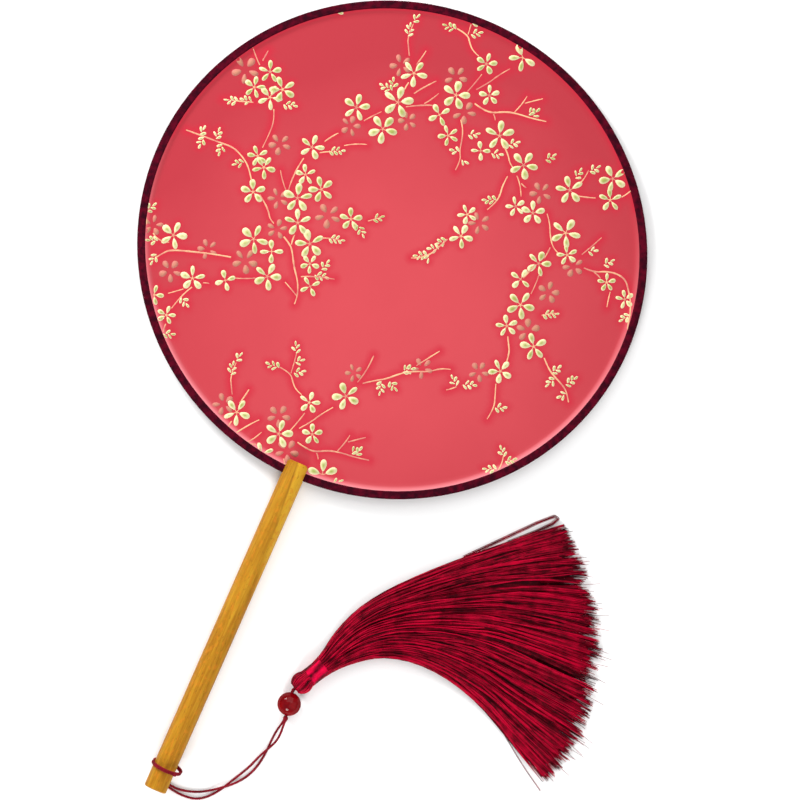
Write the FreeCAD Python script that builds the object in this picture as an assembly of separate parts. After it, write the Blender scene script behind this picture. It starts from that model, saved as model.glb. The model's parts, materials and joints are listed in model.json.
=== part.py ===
import FreeCAD, Part
import math
import os

# A round rigid hand fan: a silk leaf glued to a bent bamboo hoop, a tape binding over the rim,
# a turned wooden handle slotted onto the rim, and a tassel with a bead on a doubled cord.
# Millimetres. The fan lies on its back on z = 0, handle along -Y, centred on x = 0.

# ---- driving dimensions ----
FACE_WIDTH = 250.0
FACE_HEIGHT = 242.0
RIM_WIDTH = 4.0
RIM_THICK = 3.6
TAPE = 0.5
TAPE_FLANGE = 0.4
SILK_THICK = 0.3
RIM_ROUNDING = 0.7
HOOP_JOINT = 0.6

HANDLE_R = 5.65
HANDLE_TOP = 113.4
HANDLE_BUTT = 287.1
HANDLE_CHAMFER = 1.1
BUTT_ROUNDING = 0.9
SLOT_PLAY = 0.05

LOOP_R = 7.2
LOOP_CORD_R = 0.6
LOOP_LEAN = 19.0
LOOP_SHIFT_X = 0.5
LOOP_SHIFT_Z = 0.4
LOOP_BELOW_CENTRE = 275.0
KNOT_R = 1.2
SWING_PIVOT = (1.5, -190.8)

STRAND_R = 0.55
BEAD_R = 5.75
BEAD_CENTRE = (43.1, -139.8)
CORE_R = 0.85
BORE_PLAY = 0.08
END_KNOT_R = 1.25
END_KNOT = (44.25, -147.0)
LINK_REACH = 6.3
LINK_GAP = 1.05

HEAD_R = 5.45
HEAD_CENTRE = (44.7, -127.8)
HEAD_ANGLE = 61.5
HEAD_MOUTH_R = 2.2
HEAD_MOUTH_DEPTH = 2.6
BAND_START = 4.4
BAND_END = 13.8
BAND_R = 4.7
BAND_WALL = 0.45
ROOT_FLAT = 0.05

# Skirt sections: centre x, centre y, heading in degrees, width, thickness.
SKIRT = (
    (56.7, -103.5, 60.0, 18.0, 9.4),
    (67.1, -89.5, 48.0, 28.6, 8.5),
    (86.0, -77.9, 37.0, 45.0, 7.4),
    (110.7, -68.7, 24.0, 71.2, 6.2),
    (134.8, -64.4, 17.0, 103.5, 4.8),
    (156.0, -66.5, 19.0, 117.0, 3.4),
    (169.0, -73.0, 19.0, 84.0, 2.2),
)
FLOOR_GAP = 0.05

# How far past a face a cutting tool reaches, how near an edge must be to count as on a plane,
# and the share of the shorter run that each arc of a cord's tube takes.
CUT_MARGIN = 1.0
ON_PLANE = 0.01
ARC_SHARE = 0.45
SEW_TOLERANCE = 0.001

# Cord routes, point by point, from the slip knot to the knot under the bead.
STRAND_A = (
    (2.1, -192.4, 0.55),
    (1.7, -195.9, 0.55),
    (3.6, -199.1, 0.55),
    (8.0, -200.2, 0.55),
    (13.6, -199.5, 0.55),
    (19.4, -197.6, 0.55),
    (24.4, -194.6, 0.6),
    (28.2, -191.6, 1.95),
    (31.9, -188.6, 1.95),
    (35.6, -185.0, 0.6),
    (38.9, -180.2, 0.55),
    (41.0, -174.8, 0.55),
    (42.0, -169.2, 0.6),
    (42.3, -164.0, 1.0),
    (42.3, -159.0, 2.2),
    (42.7, -154.2, 3.8),
    (43.5, -150.5, 4.9),
    (43.9, -148.0, 5.3),
)
STRAND_B = (
    (0.8, -192.2, 0.55),
    (0.1, -196.4, 0.55),
    (2.3, -200.2, 0.55),
    (7.4, -201.5, 0.55),
    (13.2, -202.0, 0.55),
    (18.9, -201.4, 0.55),
    (23.4, -199.0, 0.55),
    (27.0, -195.2, 0.55),
    (30.0, -190.8, 0.55),
    (32.4, -186.0, 0.55),
    (35.2, -180.9, 0.55),
    (37.9, -175.6, 0.55),
    (39.6, -170.6, 0.7),
    (41.2, -166.6, 2.0),
    (43.1, -162.9, 2.8),
    (44.8, -158.7, 3.5),
    (45.1, -154.4, 4.4),
    (44.7, -150.8, 5.6),
    (44.6, -148.0, 6.2),
)

Vec = FreeCAD.Vector
Z = Vec(0, 0, 1)
Y = Vec(0, 1, 0)

# The fan rests on the far rim and on the lower edge of the handle's chamfered top end, so its
# plane leans a little: that lean, and the height of the face's centre, follow from the sizes.
rim_rest_y = FACE_HEIGHT / 2 - RIM_ROUNDING
rim_rest_z = RIM_THICK / 2
handle_rest_y = HANDLE_TOP + HANDLE_CHAMFER
span = rim_rest_y + handle_rest_y
drop = HANDLE_R - rim_rest_z
lean = math.atan2(drop, span)
face_z = rim_rest_z * math.cos(lean) + rim_rest_y * math.sin(lean)
face_y = (HANDLE_BUTT - FACE_HEIGHT / 2) / 2 * math.cos(lean)
leaning_back = FreeCAD.Rotation(Vec(1, 0, 0), -math.degrees(lean))
LIE_DOWN = FreeCAD.Placement(Vec(0, face_y, face_z), leaning_back)


def save(name, shape):
    """Writes one sub-part, and says its volume and whether it is sound."""
    solids = len(shape.Solids)
    print(f"{name:14s} solids {solids}  valid {shape.isValid()}  volume {shape.Volume:9.1f} mm3")
    shape.exportStep(f"parts/{name}.step")


def lie_down(shape):
    """Takes a shape from the face's own plane to how the fan lies."""
    placed = shape.copy()
    placed.Placement = LIE_DOWN.multiply(shape.Placement)
    return placed


def heading(degrees):
    """A level unit vector at that angle from +X."""
    return Vec(math.cos(math.radians(degrees)), math.sin(math.radians(degrees)), 0)


def oval(width, height, low, high):
    """An upright elliptical plate centred on the face."""
    edge = Part.Ellipse(Vec(0, 0, low), width / 2, height / 2).toShape()
    return Part.Face(Part.Wire([edge])).extrude(Vec(0, 0, high - low))


def oval_ring(inset, width, low, high):
    """A ring that follows the rim, its outer edge inset from the rim's own."""
    outer = oval(FACE_WIDTH - 2 * inset, FACE_HEIGHT - 2 * inset, low, high)
    hole = 2 * (inset + width)
    below = low - CUT_MARGIN
    above = high + CUT_MARGIN
    return outer.cut(oval(FACE_WIDTH - hole, FACE_HEIGHT - hole, below, above))


def tube(points, radius):
    """A round cord along straight runs joined by tangent arcs as large as the runs allow."""
    route = [Vec(*p) for p in points]
    edges = []
    radii = []
    start = route[0]
    for before, corner, after in zip(route, route[1:], route[2:]):
        back = (before - corner).normalize()
        ahead = (after - corner).normalize()
        shorter = min(before.distanceToPoint(corner), after.distanceToPoint(corner))
        reach = ARC_SHARE * shorter
        half_turn = (math.pi - back.getAngle(ahead)) / 2
        bend = reach / math.tan(half_turn)
        inward = (back + ahead).normalize()
        middle = corner + inward * (bend / math.cos(half_turn) - bend)
        first = corner + back * reach
        last = corner + ahead * reach
        edges.append(Part.LineSegment(start, first).toShape())
        edges.append(Part.Arc(first, middle, last).toShape())
        radii.append(bend)
        start = last
    edges.append(Part.LineSegment(start, route[-1]).toShape())
    path = Part.Wire(edges)
    ring = Part.Wire([Part.Circle(route[0], route[1] - route[0], radius).toShape()])
    swept = path.makePipeShell([ring], True, False)
    expected = math.pi * radius**2 * path.Length
    print("  bend radii", [round(r, 1) for r in radii])
    print(f"  cord length {path.Length:.1f}  volume over section x length {swept.Volume / expected:.4f}")
    return swept


# ---- the face ----
def make_hoop():
    """The bent bamboo hoop, its two ends meeting in the handle's slot."""
    low = -RIM_THICK / 2 + TAPE_FLANGE
    high = RIM_THICK / 2 - TAPE_FLANGE - SILK_THICK
    ring = oval_ring(TAPE, RIM_WIDTH - 2 * TAPE, low, high)
    corner = Vec(-HOOP_JOINT / 2, -FACE_HEIGHT / 2 - CUT_MARGIN, -RIM_THICK / 2)
    return ring.cut(Part.makeBox(HOOP_JOINT, 2 * RIM_WIDTH, RIM_THICK, corner))


def make_silk():
    """The silk leaf, glued over the hoop's front."""
    high = RIM_THICK / 2 - TAPE_FLANGE
    return oval(FACE_WIDTH - 2 * TAPE, FACE_HEIGHT - 2 * TAPE, high - SILK_THICK, high)


def make_binding():
    """The tape folded over the rim, round the hoop and the silk's edge."""
    ring = oval_ring(0, RIM_WIDTH, -RIM_THICK / 2, RIM_THICK / 2)
    edges = [e for e in ring.Edges if e.BoundBox.ZLength < ON_PLANE]
    soft = ring.makeFillet(RIM_ROUNDING, edges)
    low = -RIM_THICK / 2 + TAPE_FLANGE
    high = RIM_THICK / 2 - TAPE_FLANGE
    lath = oval_ring(TAPE, RIM_WIDTH - 2 * TAPE, low, high)
    return soft.cut(lath).cut(make_silk())


def make_handle():
    """The turned handle: chamfered and slotted at the top, rounded at the butt."""
    stick = Part.makeCylinder(HANDLE_R, HANDLE_BUTT - HANDLE_TOP, Vec(0, -HANDLE_BUTT, 0), Y)
    top_edge = [e for e in stick.Edges if e.BoundBox.YMin > -HANDLE_TOP - ON_PLANE]
    stick = stick.makeChamfer(HANDLE_CHAMFER, top_edge)
    butt_edge = [e for e in stick.Edges if e.BoundBox.YMax < ON_PLANE - HANDLE_BUTT]
    stick = stick.makeFillet(BUTT_ROUNDING, butt_edge)
    slot_half = RIM_THICK / 2 + SLOT_PLAY
    slot_floor = -FACE_HEIGHT / 2 - SLOT_PLAY
    corner = Vec(-2 * HANDLE_R, slot_floor, -slot_half)
    return stick.cut(Part.makeBox(4 * HANDLE_R, -slot_floor, 2 * slot_half, corner))


# ---- the cord and the tassel ----
def make_loop():
    """The loose loop round the handle, leaning back towards the face underneath."""
    axis = FreeCAD.Rotation(Vec(1, 0, 0), LOOP_LEAN).multVec(Y)
    middle = Vec(LOOP_SHIFT_X, -LOOP_BELOW_CENTRE, LOOP_SHIFT_Z)
    return Part.makeTorus(LOOP_R, LOOP_CORD_R, middle, axis)


def bead_points():
    """Bead centre, unit vector along its cord, and the pivot between bead and tassel."""
    centre = Vec(BEAD_CENTRE[0], BEAD_CENTRE[1], BEAD_R)
    knot = Vec(END_KNOT[0], END_KNOT[1], BEAD_R)
    along = (centre - knot).normalize()
    return centre, knot, along, centre + along * LINK_REACH


def make_bead():
    """The drilled bead."""
    centre, knot, along, pivot = bead_points()
    ball = Part.makeSphere(BEAD_R, centre)
    drill = Part.makeCylinder(CORE_R + BORE_PLAY, 4 * BEAD_R, centre - along * (2 * BEAD_R), along)
    return ball.cut(drill)


def make_core():
    """The cord through the bead, from the knot to its rounded end at the pivot."""
    centre, knot, along, pivot = bead_points()
    shaft = Part.makeCylinder(CORE_R, knot.distanceToPoint(pivot), knot, along)
    return shaft.fuse(Part.makeSphere(CORE_R, pivot)).removeSplitter()


def head_line():
    """Head centre and the level unit vector from it to the skirt."""
    return Vec(HEAD_CENTRE[0], HEAD_CENTRE[1], BEAD_R), heading(HEAD_ANGLE)


def make_tassel_cord():
    """The cord's end that goes into the head."""
    pivot = bead_points()[3]
    centre = head_line()[0]
    inward = (centre - pivot).normalize()
    start = pivot + inward * LINK_GAP
    return Part.makeCylinder(CORE_R, start.distanceToPoint(centre), start, inward)


def make_head():
    """The thread-wrapped ball: open towards the bead, cut off flat under the band."""
    centre, along = head_line()
    ball = Part.makeSphere(HEAD_R, centre)
    beyond = Part.makeCylinder(2 * HEAD_R, 2 * HEAD_R, centre + along * BAND_START, along)
    mouth_floor = centre - along * (HEAD_R - HEAD_MOUTH_DEPTH)
    mouth = Part.makeCylinder(HEAD_MOUTH_R, 2 * HEAD_R, mouth_floor, along * -1)
    return ball.cut(beyond).cut(mouth).cut(make_tassel_cord())


def make_band():
    """The satin band wound round the threads below the head."""
    centre, along = head_line()
    start = centre + along * BAND_START
    outer = Part.makeCylinder(BAND_R, BAND_END - BAND_START, start, along)
    return outer.cut(Part.makeCylinder(BAND_R - BAND_WALL, BAND_END - BAND_START, start, along))


def skirt_section(centre, degrees, width, thick):
    """The upper and lower halves of one upright elliptical section across the skirt."""
    side = heading(degrees - 90)
    across = heading(degrees) * -1
    turn = FreeCAD.Placement(centre, FreeCAD.Rotation(side, Z, across, "XYZ"))
    flat = Part.Ellipse(Vec(0, 0, 0), width / 2, thick / 2)
    halves = []
    for start in (0, math.pi):
        arc = Part.ArcOfEllipse(flat, start, start + math.pi).toShape()
        halves.append(arc.transformGeometry(turn.toMatrix()))
    return halves


def make_skirt():
    """The bundle of threads: round in the band, then spread over the surface as it lies."""
    centre, along = head_line()
    root = 2 * (BAND_R - BAND_WALL)
    sections = []
    for distance in (BAND_START, BAND_END):
        sections.append(skirt_section(centre + along * distance, HEAD_ANGLE, root, root - ROOT_FLAT))
    for x, y, degrees, width, thick in SKIRT:
        middle = Vec(x, y, thick / 2 + FLOOR_GAP)
        sections.append(skirt_section(middle, degrees, width, thick))
    faces = [Part.Face(Part.Wire(sections[0])), Part.Face(Part.Wire(sections[-1]))]
    for here, there in zip(sections, sections[1:]):
        for near, far in zip(here, there):
            faces.append(Part.makeRuledSurface(near, far))
    shell = Part.makeShell(faces)
    shell.sewShape()
    solid = Part.Solid(shell)
    solid.fix(SEW_TOLERANCE, SEW_TOLERANCE, 10 * SEW_TOLERANCE)
    return solid


knot_under_handle = Vec(SWING_PIVOT[0], SWING_PIVOT[1], KNOT_R + FLOOR_GAP)

save("hoop", lie_down(make_hoop()))
save("silk_leaf", lie_down(make_silk()))
save("rim_binding", lie_down(make_binding()))
save("handle", lie_down(make_handle()))
save("cord_loop", lie_down(make_loop()))
save("slip_knot", Part.makeSphere(KNOT_R, knot_under_handle))
save("strand_a", tube(STRAND_A, STRAND_R))
save("strand_b", tube(STRAND_B, STRAND_R))
save("end_knot", Part.makeSphere(END_KNOT_R, bead_points()[1]))
save("bead_cord", make_core())
save("bead", make_bead())
save("tassel_cord", make_tassel_cord())
save("tassel_head", make_head())
save("neck_band", make_band())
save("tassel_skirt", make_skirt())
print(f"lean {math.degrees(lean):.3f} deg, face centre y {face_y:.3f} z {face_z:.3f}")
print("tassel pivot", bead_points()[3], "bead axis", bead_points()[2])
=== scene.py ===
"""A round silk hand fan with a beaded tassel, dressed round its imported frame.

Everything is in metres in the row's frame. The face's own plane has its origin at the face's
centre, +Y away from the handle and +Z out of the printed front; FACE takes it to the row's frame.
"""

import json
import math
import random

import bmesh
import bpy
from bpy.props import FloatProperty, FloatVectorProperty, IntProperty, PointerProperty
from mathutils import Matrix, Vector
from mathutils.kdtree import KDTree
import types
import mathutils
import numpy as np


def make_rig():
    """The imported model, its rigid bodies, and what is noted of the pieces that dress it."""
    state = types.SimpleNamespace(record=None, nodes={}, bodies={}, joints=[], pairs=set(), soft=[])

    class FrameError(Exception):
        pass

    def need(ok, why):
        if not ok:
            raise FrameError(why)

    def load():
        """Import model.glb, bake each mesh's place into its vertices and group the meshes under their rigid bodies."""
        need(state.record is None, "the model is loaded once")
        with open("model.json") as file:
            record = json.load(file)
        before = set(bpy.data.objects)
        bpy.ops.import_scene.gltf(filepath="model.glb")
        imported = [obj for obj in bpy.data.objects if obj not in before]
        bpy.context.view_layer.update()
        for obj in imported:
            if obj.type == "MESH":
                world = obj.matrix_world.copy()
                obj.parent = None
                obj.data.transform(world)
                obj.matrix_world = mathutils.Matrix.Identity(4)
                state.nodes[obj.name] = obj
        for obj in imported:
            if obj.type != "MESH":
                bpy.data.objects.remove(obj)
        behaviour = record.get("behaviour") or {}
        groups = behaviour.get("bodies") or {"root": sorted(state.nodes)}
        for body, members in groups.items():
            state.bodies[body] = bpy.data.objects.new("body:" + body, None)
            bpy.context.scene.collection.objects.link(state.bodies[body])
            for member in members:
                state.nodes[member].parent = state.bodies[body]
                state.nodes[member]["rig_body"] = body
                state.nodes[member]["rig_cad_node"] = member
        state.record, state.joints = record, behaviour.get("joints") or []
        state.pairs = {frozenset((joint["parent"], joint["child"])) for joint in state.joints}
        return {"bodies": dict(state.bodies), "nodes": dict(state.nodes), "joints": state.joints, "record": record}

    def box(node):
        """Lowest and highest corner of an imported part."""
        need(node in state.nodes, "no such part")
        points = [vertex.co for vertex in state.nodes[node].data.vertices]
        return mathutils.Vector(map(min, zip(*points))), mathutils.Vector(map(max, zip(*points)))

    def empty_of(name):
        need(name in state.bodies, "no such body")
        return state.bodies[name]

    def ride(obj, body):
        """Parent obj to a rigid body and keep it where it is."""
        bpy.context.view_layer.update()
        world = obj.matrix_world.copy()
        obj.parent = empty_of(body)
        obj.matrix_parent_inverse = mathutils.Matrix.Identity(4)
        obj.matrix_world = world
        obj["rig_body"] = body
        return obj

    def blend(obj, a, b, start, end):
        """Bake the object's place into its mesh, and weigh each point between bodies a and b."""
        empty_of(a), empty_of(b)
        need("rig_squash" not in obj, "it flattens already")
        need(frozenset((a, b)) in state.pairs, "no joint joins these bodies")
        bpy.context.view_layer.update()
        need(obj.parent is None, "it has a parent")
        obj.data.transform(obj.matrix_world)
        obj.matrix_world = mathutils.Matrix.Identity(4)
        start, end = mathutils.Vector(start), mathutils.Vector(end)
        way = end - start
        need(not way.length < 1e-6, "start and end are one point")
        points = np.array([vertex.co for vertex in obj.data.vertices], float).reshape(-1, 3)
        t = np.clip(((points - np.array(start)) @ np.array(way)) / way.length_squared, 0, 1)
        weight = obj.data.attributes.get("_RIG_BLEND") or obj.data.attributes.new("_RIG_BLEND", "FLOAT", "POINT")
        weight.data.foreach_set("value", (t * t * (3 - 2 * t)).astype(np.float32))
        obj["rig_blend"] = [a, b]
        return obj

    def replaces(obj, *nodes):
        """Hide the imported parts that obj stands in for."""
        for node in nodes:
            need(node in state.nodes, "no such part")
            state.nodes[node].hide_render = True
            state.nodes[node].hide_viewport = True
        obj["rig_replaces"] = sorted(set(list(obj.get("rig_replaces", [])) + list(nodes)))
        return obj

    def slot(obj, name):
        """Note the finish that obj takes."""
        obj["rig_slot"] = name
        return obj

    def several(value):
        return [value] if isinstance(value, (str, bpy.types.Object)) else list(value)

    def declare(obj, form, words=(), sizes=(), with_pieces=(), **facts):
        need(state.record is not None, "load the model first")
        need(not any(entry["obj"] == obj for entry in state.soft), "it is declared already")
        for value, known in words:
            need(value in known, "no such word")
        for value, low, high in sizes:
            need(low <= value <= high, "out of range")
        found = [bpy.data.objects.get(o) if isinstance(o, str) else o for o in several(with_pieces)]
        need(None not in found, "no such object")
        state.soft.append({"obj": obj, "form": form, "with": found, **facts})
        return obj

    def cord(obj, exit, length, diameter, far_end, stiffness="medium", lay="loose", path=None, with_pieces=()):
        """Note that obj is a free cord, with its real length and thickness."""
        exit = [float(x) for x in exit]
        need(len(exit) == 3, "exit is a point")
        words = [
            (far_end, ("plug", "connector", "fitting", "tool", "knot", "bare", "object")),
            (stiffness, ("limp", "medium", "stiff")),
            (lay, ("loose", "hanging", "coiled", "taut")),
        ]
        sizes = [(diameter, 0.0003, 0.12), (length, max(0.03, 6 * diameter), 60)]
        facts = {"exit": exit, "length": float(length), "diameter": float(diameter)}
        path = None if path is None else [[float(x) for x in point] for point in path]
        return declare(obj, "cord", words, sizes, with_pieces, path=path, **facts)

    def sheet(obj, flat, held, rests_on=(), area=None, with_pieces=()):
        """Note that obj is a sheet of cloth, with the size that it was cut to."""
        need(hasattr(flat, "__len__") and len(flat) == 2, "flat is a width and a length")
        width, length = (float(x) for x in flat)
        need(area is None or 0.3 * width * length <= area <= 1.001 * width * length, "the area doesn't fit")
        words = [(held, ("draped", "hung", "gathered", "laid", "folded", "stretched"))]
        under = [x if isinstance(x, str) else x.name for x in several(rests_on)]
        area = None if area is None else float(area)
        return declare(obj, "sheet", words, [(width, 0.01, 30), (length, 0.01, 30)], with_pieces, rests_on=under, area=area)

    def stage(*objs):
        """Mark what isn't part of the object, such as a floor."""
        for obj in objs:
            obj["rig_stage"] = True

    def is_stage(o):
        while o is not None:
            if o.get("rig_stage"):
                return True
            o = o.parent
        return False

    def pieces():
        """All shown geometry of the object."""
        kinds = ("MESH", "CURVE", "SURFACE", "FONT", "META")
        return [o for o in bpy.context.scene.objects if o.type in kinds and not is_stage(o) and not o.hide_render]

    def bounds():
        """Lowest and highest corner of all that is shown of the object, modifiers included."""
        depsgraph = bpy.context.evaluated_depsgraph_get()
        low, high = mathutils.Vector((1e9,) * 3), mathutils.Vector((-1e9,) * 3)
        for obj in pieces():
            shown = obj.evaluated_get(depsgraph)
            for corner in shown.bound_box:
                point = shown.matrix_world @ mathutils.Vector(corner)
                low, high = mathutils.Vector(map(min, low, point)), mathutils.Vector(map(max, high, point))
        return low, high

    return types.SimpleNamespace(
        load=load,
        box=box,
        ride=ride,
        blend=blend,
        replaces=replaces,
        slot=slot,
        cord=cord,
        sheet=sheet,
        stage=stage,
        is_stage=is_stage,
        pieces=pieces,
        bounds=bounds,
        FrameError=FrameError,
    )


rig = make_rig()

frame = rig.load()
CAD_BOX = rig.bounds()

bl_info = {
    "name": "Round Silk Fan",
    "version": (1, 0, 0),
    "blender": (4, 5, 0),
    "location": "View3D > Sidebar > Fan",
    "description": "Silk, print, cords and tassel of a round hand fan, built round its frame",
    "category": "Add Mesh",
}

MM = 0.001
TURN = 2 * math.pi


def srgb(red, green, blue):
    """A linear colour from display values of 0 to 255."""
    linear = []
    for value in (red, green, blue):
        share = value / 255
        linear.append(share / 12.92 if share <= 0.04045 else ((share + 0.055) / 1.055) ** 2.4)
    return tuple(linear)


def opaque(colour):
    """That colour with full alpha, as a colour socket wants it."""
    return (*colour, 1.0)


def box_middle(box):
    """The middle between a box's two corners."""
    return (box[0] + box[1]) / 2


def standing_on(centre, axis):
    """The placing that moves the origin to a centre and turns +Z to an axis."""
    return Matrix.Translation(centre) @ axis.to_track_quat("Z", "Y").to_matrix().to_4x4()


# ---- places, from the frame ----
GRIP = frame["record"]["mounts"][0]
GRIP_BELOW_CENTRE = 195 * MM
GRIP_AXIS = Vector(GRIP["axis"])
FACE_CENTRE = Vector(GRIP["pos_m"]) - GRIP_AXIS * GRIP_BELOW_CENTRE
LEAN = math.atan2(GRIP_AXIS.z, -GRIP_AXIS.y)
FACE = Matrix.Translation(FACE_CENTRE) @ Matrix.Rotation(-LEAN, 4, "X")
RIM_LOW, RIM_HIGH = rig.box("rim_binding")
HALF_WIDTH = (RIM_HIGH.x - RIM_LOW.x) / 2
HALF_HEIGHT = (RIM_HIGH.y - RIM_LOW.y) / 2
RIM_WIDTH = 4.0 * MM
TAPE_INSET = 0.7 * MM
SILK_UNDER_TAPE = 1.38 * MM

BAND_MIDDLE = box_middle(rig.box("neck_band"))
TASSEL_ANGLE = math.radians(61.5)
TASSEL_AXIS = Vector((math.cos(TASSEL_ANGLE), math.sin(TASSEL_ANGLE), 0))
TASSEL_SIDE = Vector((math.sin(TASSEL_ANGLE), -math.cos(TASSEL_ANGLE), 0))
UP = Vector((0, 0, 1))
BAND_LENGTH = 9.4 * MM
BAND_RADIUS = 4.7 * MM
HEAD_TO_BAND = 9.1 * MM
HEAD_RADIUS = 5.45 * MM
HEAD_CENTRE = BAND_MIDDLE - TASSEL_AXIS * HEAD_TO_BAND

HANDLE_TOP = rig.box("handle")[1].y
BEAD_LOW, BEAD_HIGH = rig.box("bead")
BEAD_CENTRE = box_middle((BEAD_LOW, BEAD_HIGH))
END_KNOT = box_middle(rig.box("end_knot"))
SLIP_KNOT = box_middle(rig.box("slip_knot"))

# ---- the camera's view: straight down, turned so that the handle points to the lower left ----
VIEW_CENTRE = (32.9 * MM, 17.5 * MM)
VIEW_WIDTH = 390 * MM
VIEW_DISTANCE = 2.4
VIEW_PLANE = 4 * MM
VIEW_ROLL = math.radians(23.74)
SENSOR = 36.0

# ---- the two strands' routes, in millimetres, from the slip knot to the knot under the bead ----
STRAND_A = (
    (2.1, -192.4, 0.55),
    (1.7, -195.9, 0.55),
    (3.6, -199.1, 0.55),
    (8.0, -200.2, 0.55),
    (13.6, -199.5, 0.55),
    (19.4, -197.6, 0.55),
    (24.4, -194.6, 0.6),
    (28.2, -191.6, 1.95),
    (31.9, -188.6, 1.95),
    (35.6, -185.0, 0.6),
    (38.9, -180.2, 0.55),
    (41.0, -174.8, 0.55),
    (42.0, -169.2, 0.6),
    (42.3, -164.0, 1.0),
    (42.3, -159.0, 2.2),
    (42.7, -154.2, 3.8),
    (43.5, -150.5, 4.9),
    (43.9, -148.0, 5.3),
)
STRAND_B = (
    (0.8, -192.2, 0.55),
    (0.1, -196.4, 0.55),
    (2.3, -200.2, 0.55),
    (7.4, -201.5, 0.55),
    (13.2, -202.0, 0.55),
    (18.9, -201.4, 0.55),
    (23.4, -199.0, 0.55),
    (27.0, -195.2, 0.55),
    (30.0, -190.8, 0.55),
    (32.4, -186.0, 0.55),
    (35.2, -180.9, 0.55),
    (37.9, -175.6, 0.55),
    (39.6, -170.6, 0.7),
    (41.2, -166.6, 2.0),
    (43.1, -162.9, 2.8),
    (44.8, -158.7, 3.5),
    (45.1, -154.4, 4.4),
    (44.7, -150.8, 5.6),
    (44.6, -148.0, 6.2),
)
STRAND_LENGTHS = (0.083, 0.087)

# ---- the skirt's sections: centre x, centre y, heading in degrees, width, thickness ----
SKIRT = (
    (56.7, -103.5, 60.0, 18.0, 9.4),
    (67.1, -89.5, 48.0, 28.6, 8.5),
    (86.0, -77.9, 37.0, 45.0, 7.4),
    (110.7, -68.7, 24.0, 71.2, 6.2),
    (134.8, -64.4, 17.0, 103.5, 4.8),
)
# The ragged end of the skirt, from its inner corner to its outer one: x, y, thickness.
RAGGED_END = (
    (173.5, -126.0, 2.4),
    (179.0, -112.0, 2.8),
    (181.0, -98.0, 3.0),
    (180.0, -84.0, 3.2),
    (177.0, -69.0, 3.2),
    (171.5, -54.0, 3.2),
    (163.5, -39.0, 3.2),
    (153.5, -26.0, 3.0),
    (142.0, -14.0, 2.6),
    (131.5, -5.0, 2.2),
)
# A few hairs that stand off the skirt's outer edge and turn back on themselves.
STRAY_LOOP = (
    (92.0, -40.5, 2.0),
    (105.4, -25.2, 2.2),
    (115.8, -13.3, 1.6),
    (124.6, -3.2, 1.0),
    (127.9, -4.4, 0.8),
    (124.0, -9.8, 1.0),
    (117.0, -17.2, 1.6),
    (109.0, -25.0, 2.2),
)
# Two more stand off its inner edge.
LOWER_HAIR = (
    (134.0, -104.0, 1.6),
    (141.0, -108.5, 1.0),
    (148.5, -113.8, 0.8),
    (156.5, -119.6, 0.6),
    (164.5, -124.8, 0.5),
    (172.5, -129.6, 0.4),
)

# ---- the print, in millimetres in the face's plane ----
# Blossoms: centre x, centre y, radius, the direction of one petal in degrees.
BLOSSOMS = (
    (-25, 83, 6.5, 78), (-26.5, 67, 7.5, 100), (-44, 56.5, 6.5, 98), (-28, 52, 7, 74),
    (-89.5, 55.5, 5.5, 113), (-93.5, 45.5, 5.2, 97), (-80.5, 50, 6.3, 60), (-84.5, 44, 6, 87),
    (20.5, 111.5, 6.6, 63), (5.5, 101.5, 5.2, 98), (13, 88, 5, 115), (-2, 81.5, 6.8, 98),
    (25.5, 72, 7.2, 111), (42, 63.5, 6.8, 80), (2.5, 62, 5, 62), (67.5, 61.5, 6.8, 50),
    (84.5, 75, 6.6, 66), (87.5, 65, 5.6, 113), (74, 41.5, 7.2, 87), (46.5, 43.5, 4.8, 127),
    (55.5, 44, 5.8, 108), (-56, 30, 6, 95), (-78.5, 15.5, 5, 55), (-73.5, 11.5, 5.6, 79),
    (-73.5, -1.5, 6, 118), (-53.5, 16.5, 5, 115), (-43.5, 13, 6.2, 60), (-52.5, 4.5, 7, 109),
    (-47.5, -6.5, 6.5, 114), (-38, -13.5, 7, 124), (-64, -22.5, 7, 84), (-34, -22.5, 4.6, 75),
    (-50.5, -36.5, 6.6, 88), (-24.5, 5.5, 5.5, 110), (-100.5, -36.5, 6.6, 91), (28, 19.5, 5.8, 81),
    (26.5, 30.5, 4.8, 65), (68, 22.5, 6, 90), (68, 0.5, 6.8, 83), (66, -11.5, 5.3, 124),
    (82, -15.5, 6.5, 122), (72, -33, 5.8, 67), (79, 32, 5, 124), (102, 27.5, 4.4, 115),
    (113.5, 23.5, 4.5, 125), (-83.5, -52, 6, 113), (-97.5, -67, 4.8, 94), (-88, -73.5, 4.5, 97),
)
FOUR_PETALLED = (
    (-5.5, 69.5, 5.5, 48), (20, 61.5, 4.6, 25), (-53.5, -24.5, 5.5, 22),
    (-29.5, -32.5, 5, 50), (63, 12, 5.3, 75), (-68.5, -46.5, 5, 37),
)
SHADOW_BLOSSOMS = (
    (-101, 51.5, 6.5, 71), (-32.5, 84, 5.2, 60), (-5.5, 89.5, 5.4, 80), (-18.5, 60.5, 4.5, 60),
    (-43, 47, 4.8, 90), (55, 54.5, 5.2, 70), (5, 75.5, 5.6, 80), (84, 28, 5, 60),
    (-71, 25, 5.2, 70), (-61, 0.5, 5, 60), (-35.5, 2.5, 6, 70), (-55.5, -13.5, 4.8, 100),
    (-63.5, -34, 6, 80), (-82.5, -36, 4.8, 60), (-111.5, -36, 4.8, 100), (33.5, 29, 5.2, 60),
    (78, 11.5, 5.2, 100), (76.5, -9.5, 5.6, 110), (62.5, -37.5, 4.8, 80), (-95, -53, 5.4, 80),
    (7, -62.5, 4.2, 60), (36.5, -47, 5, 70),
)
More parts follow.
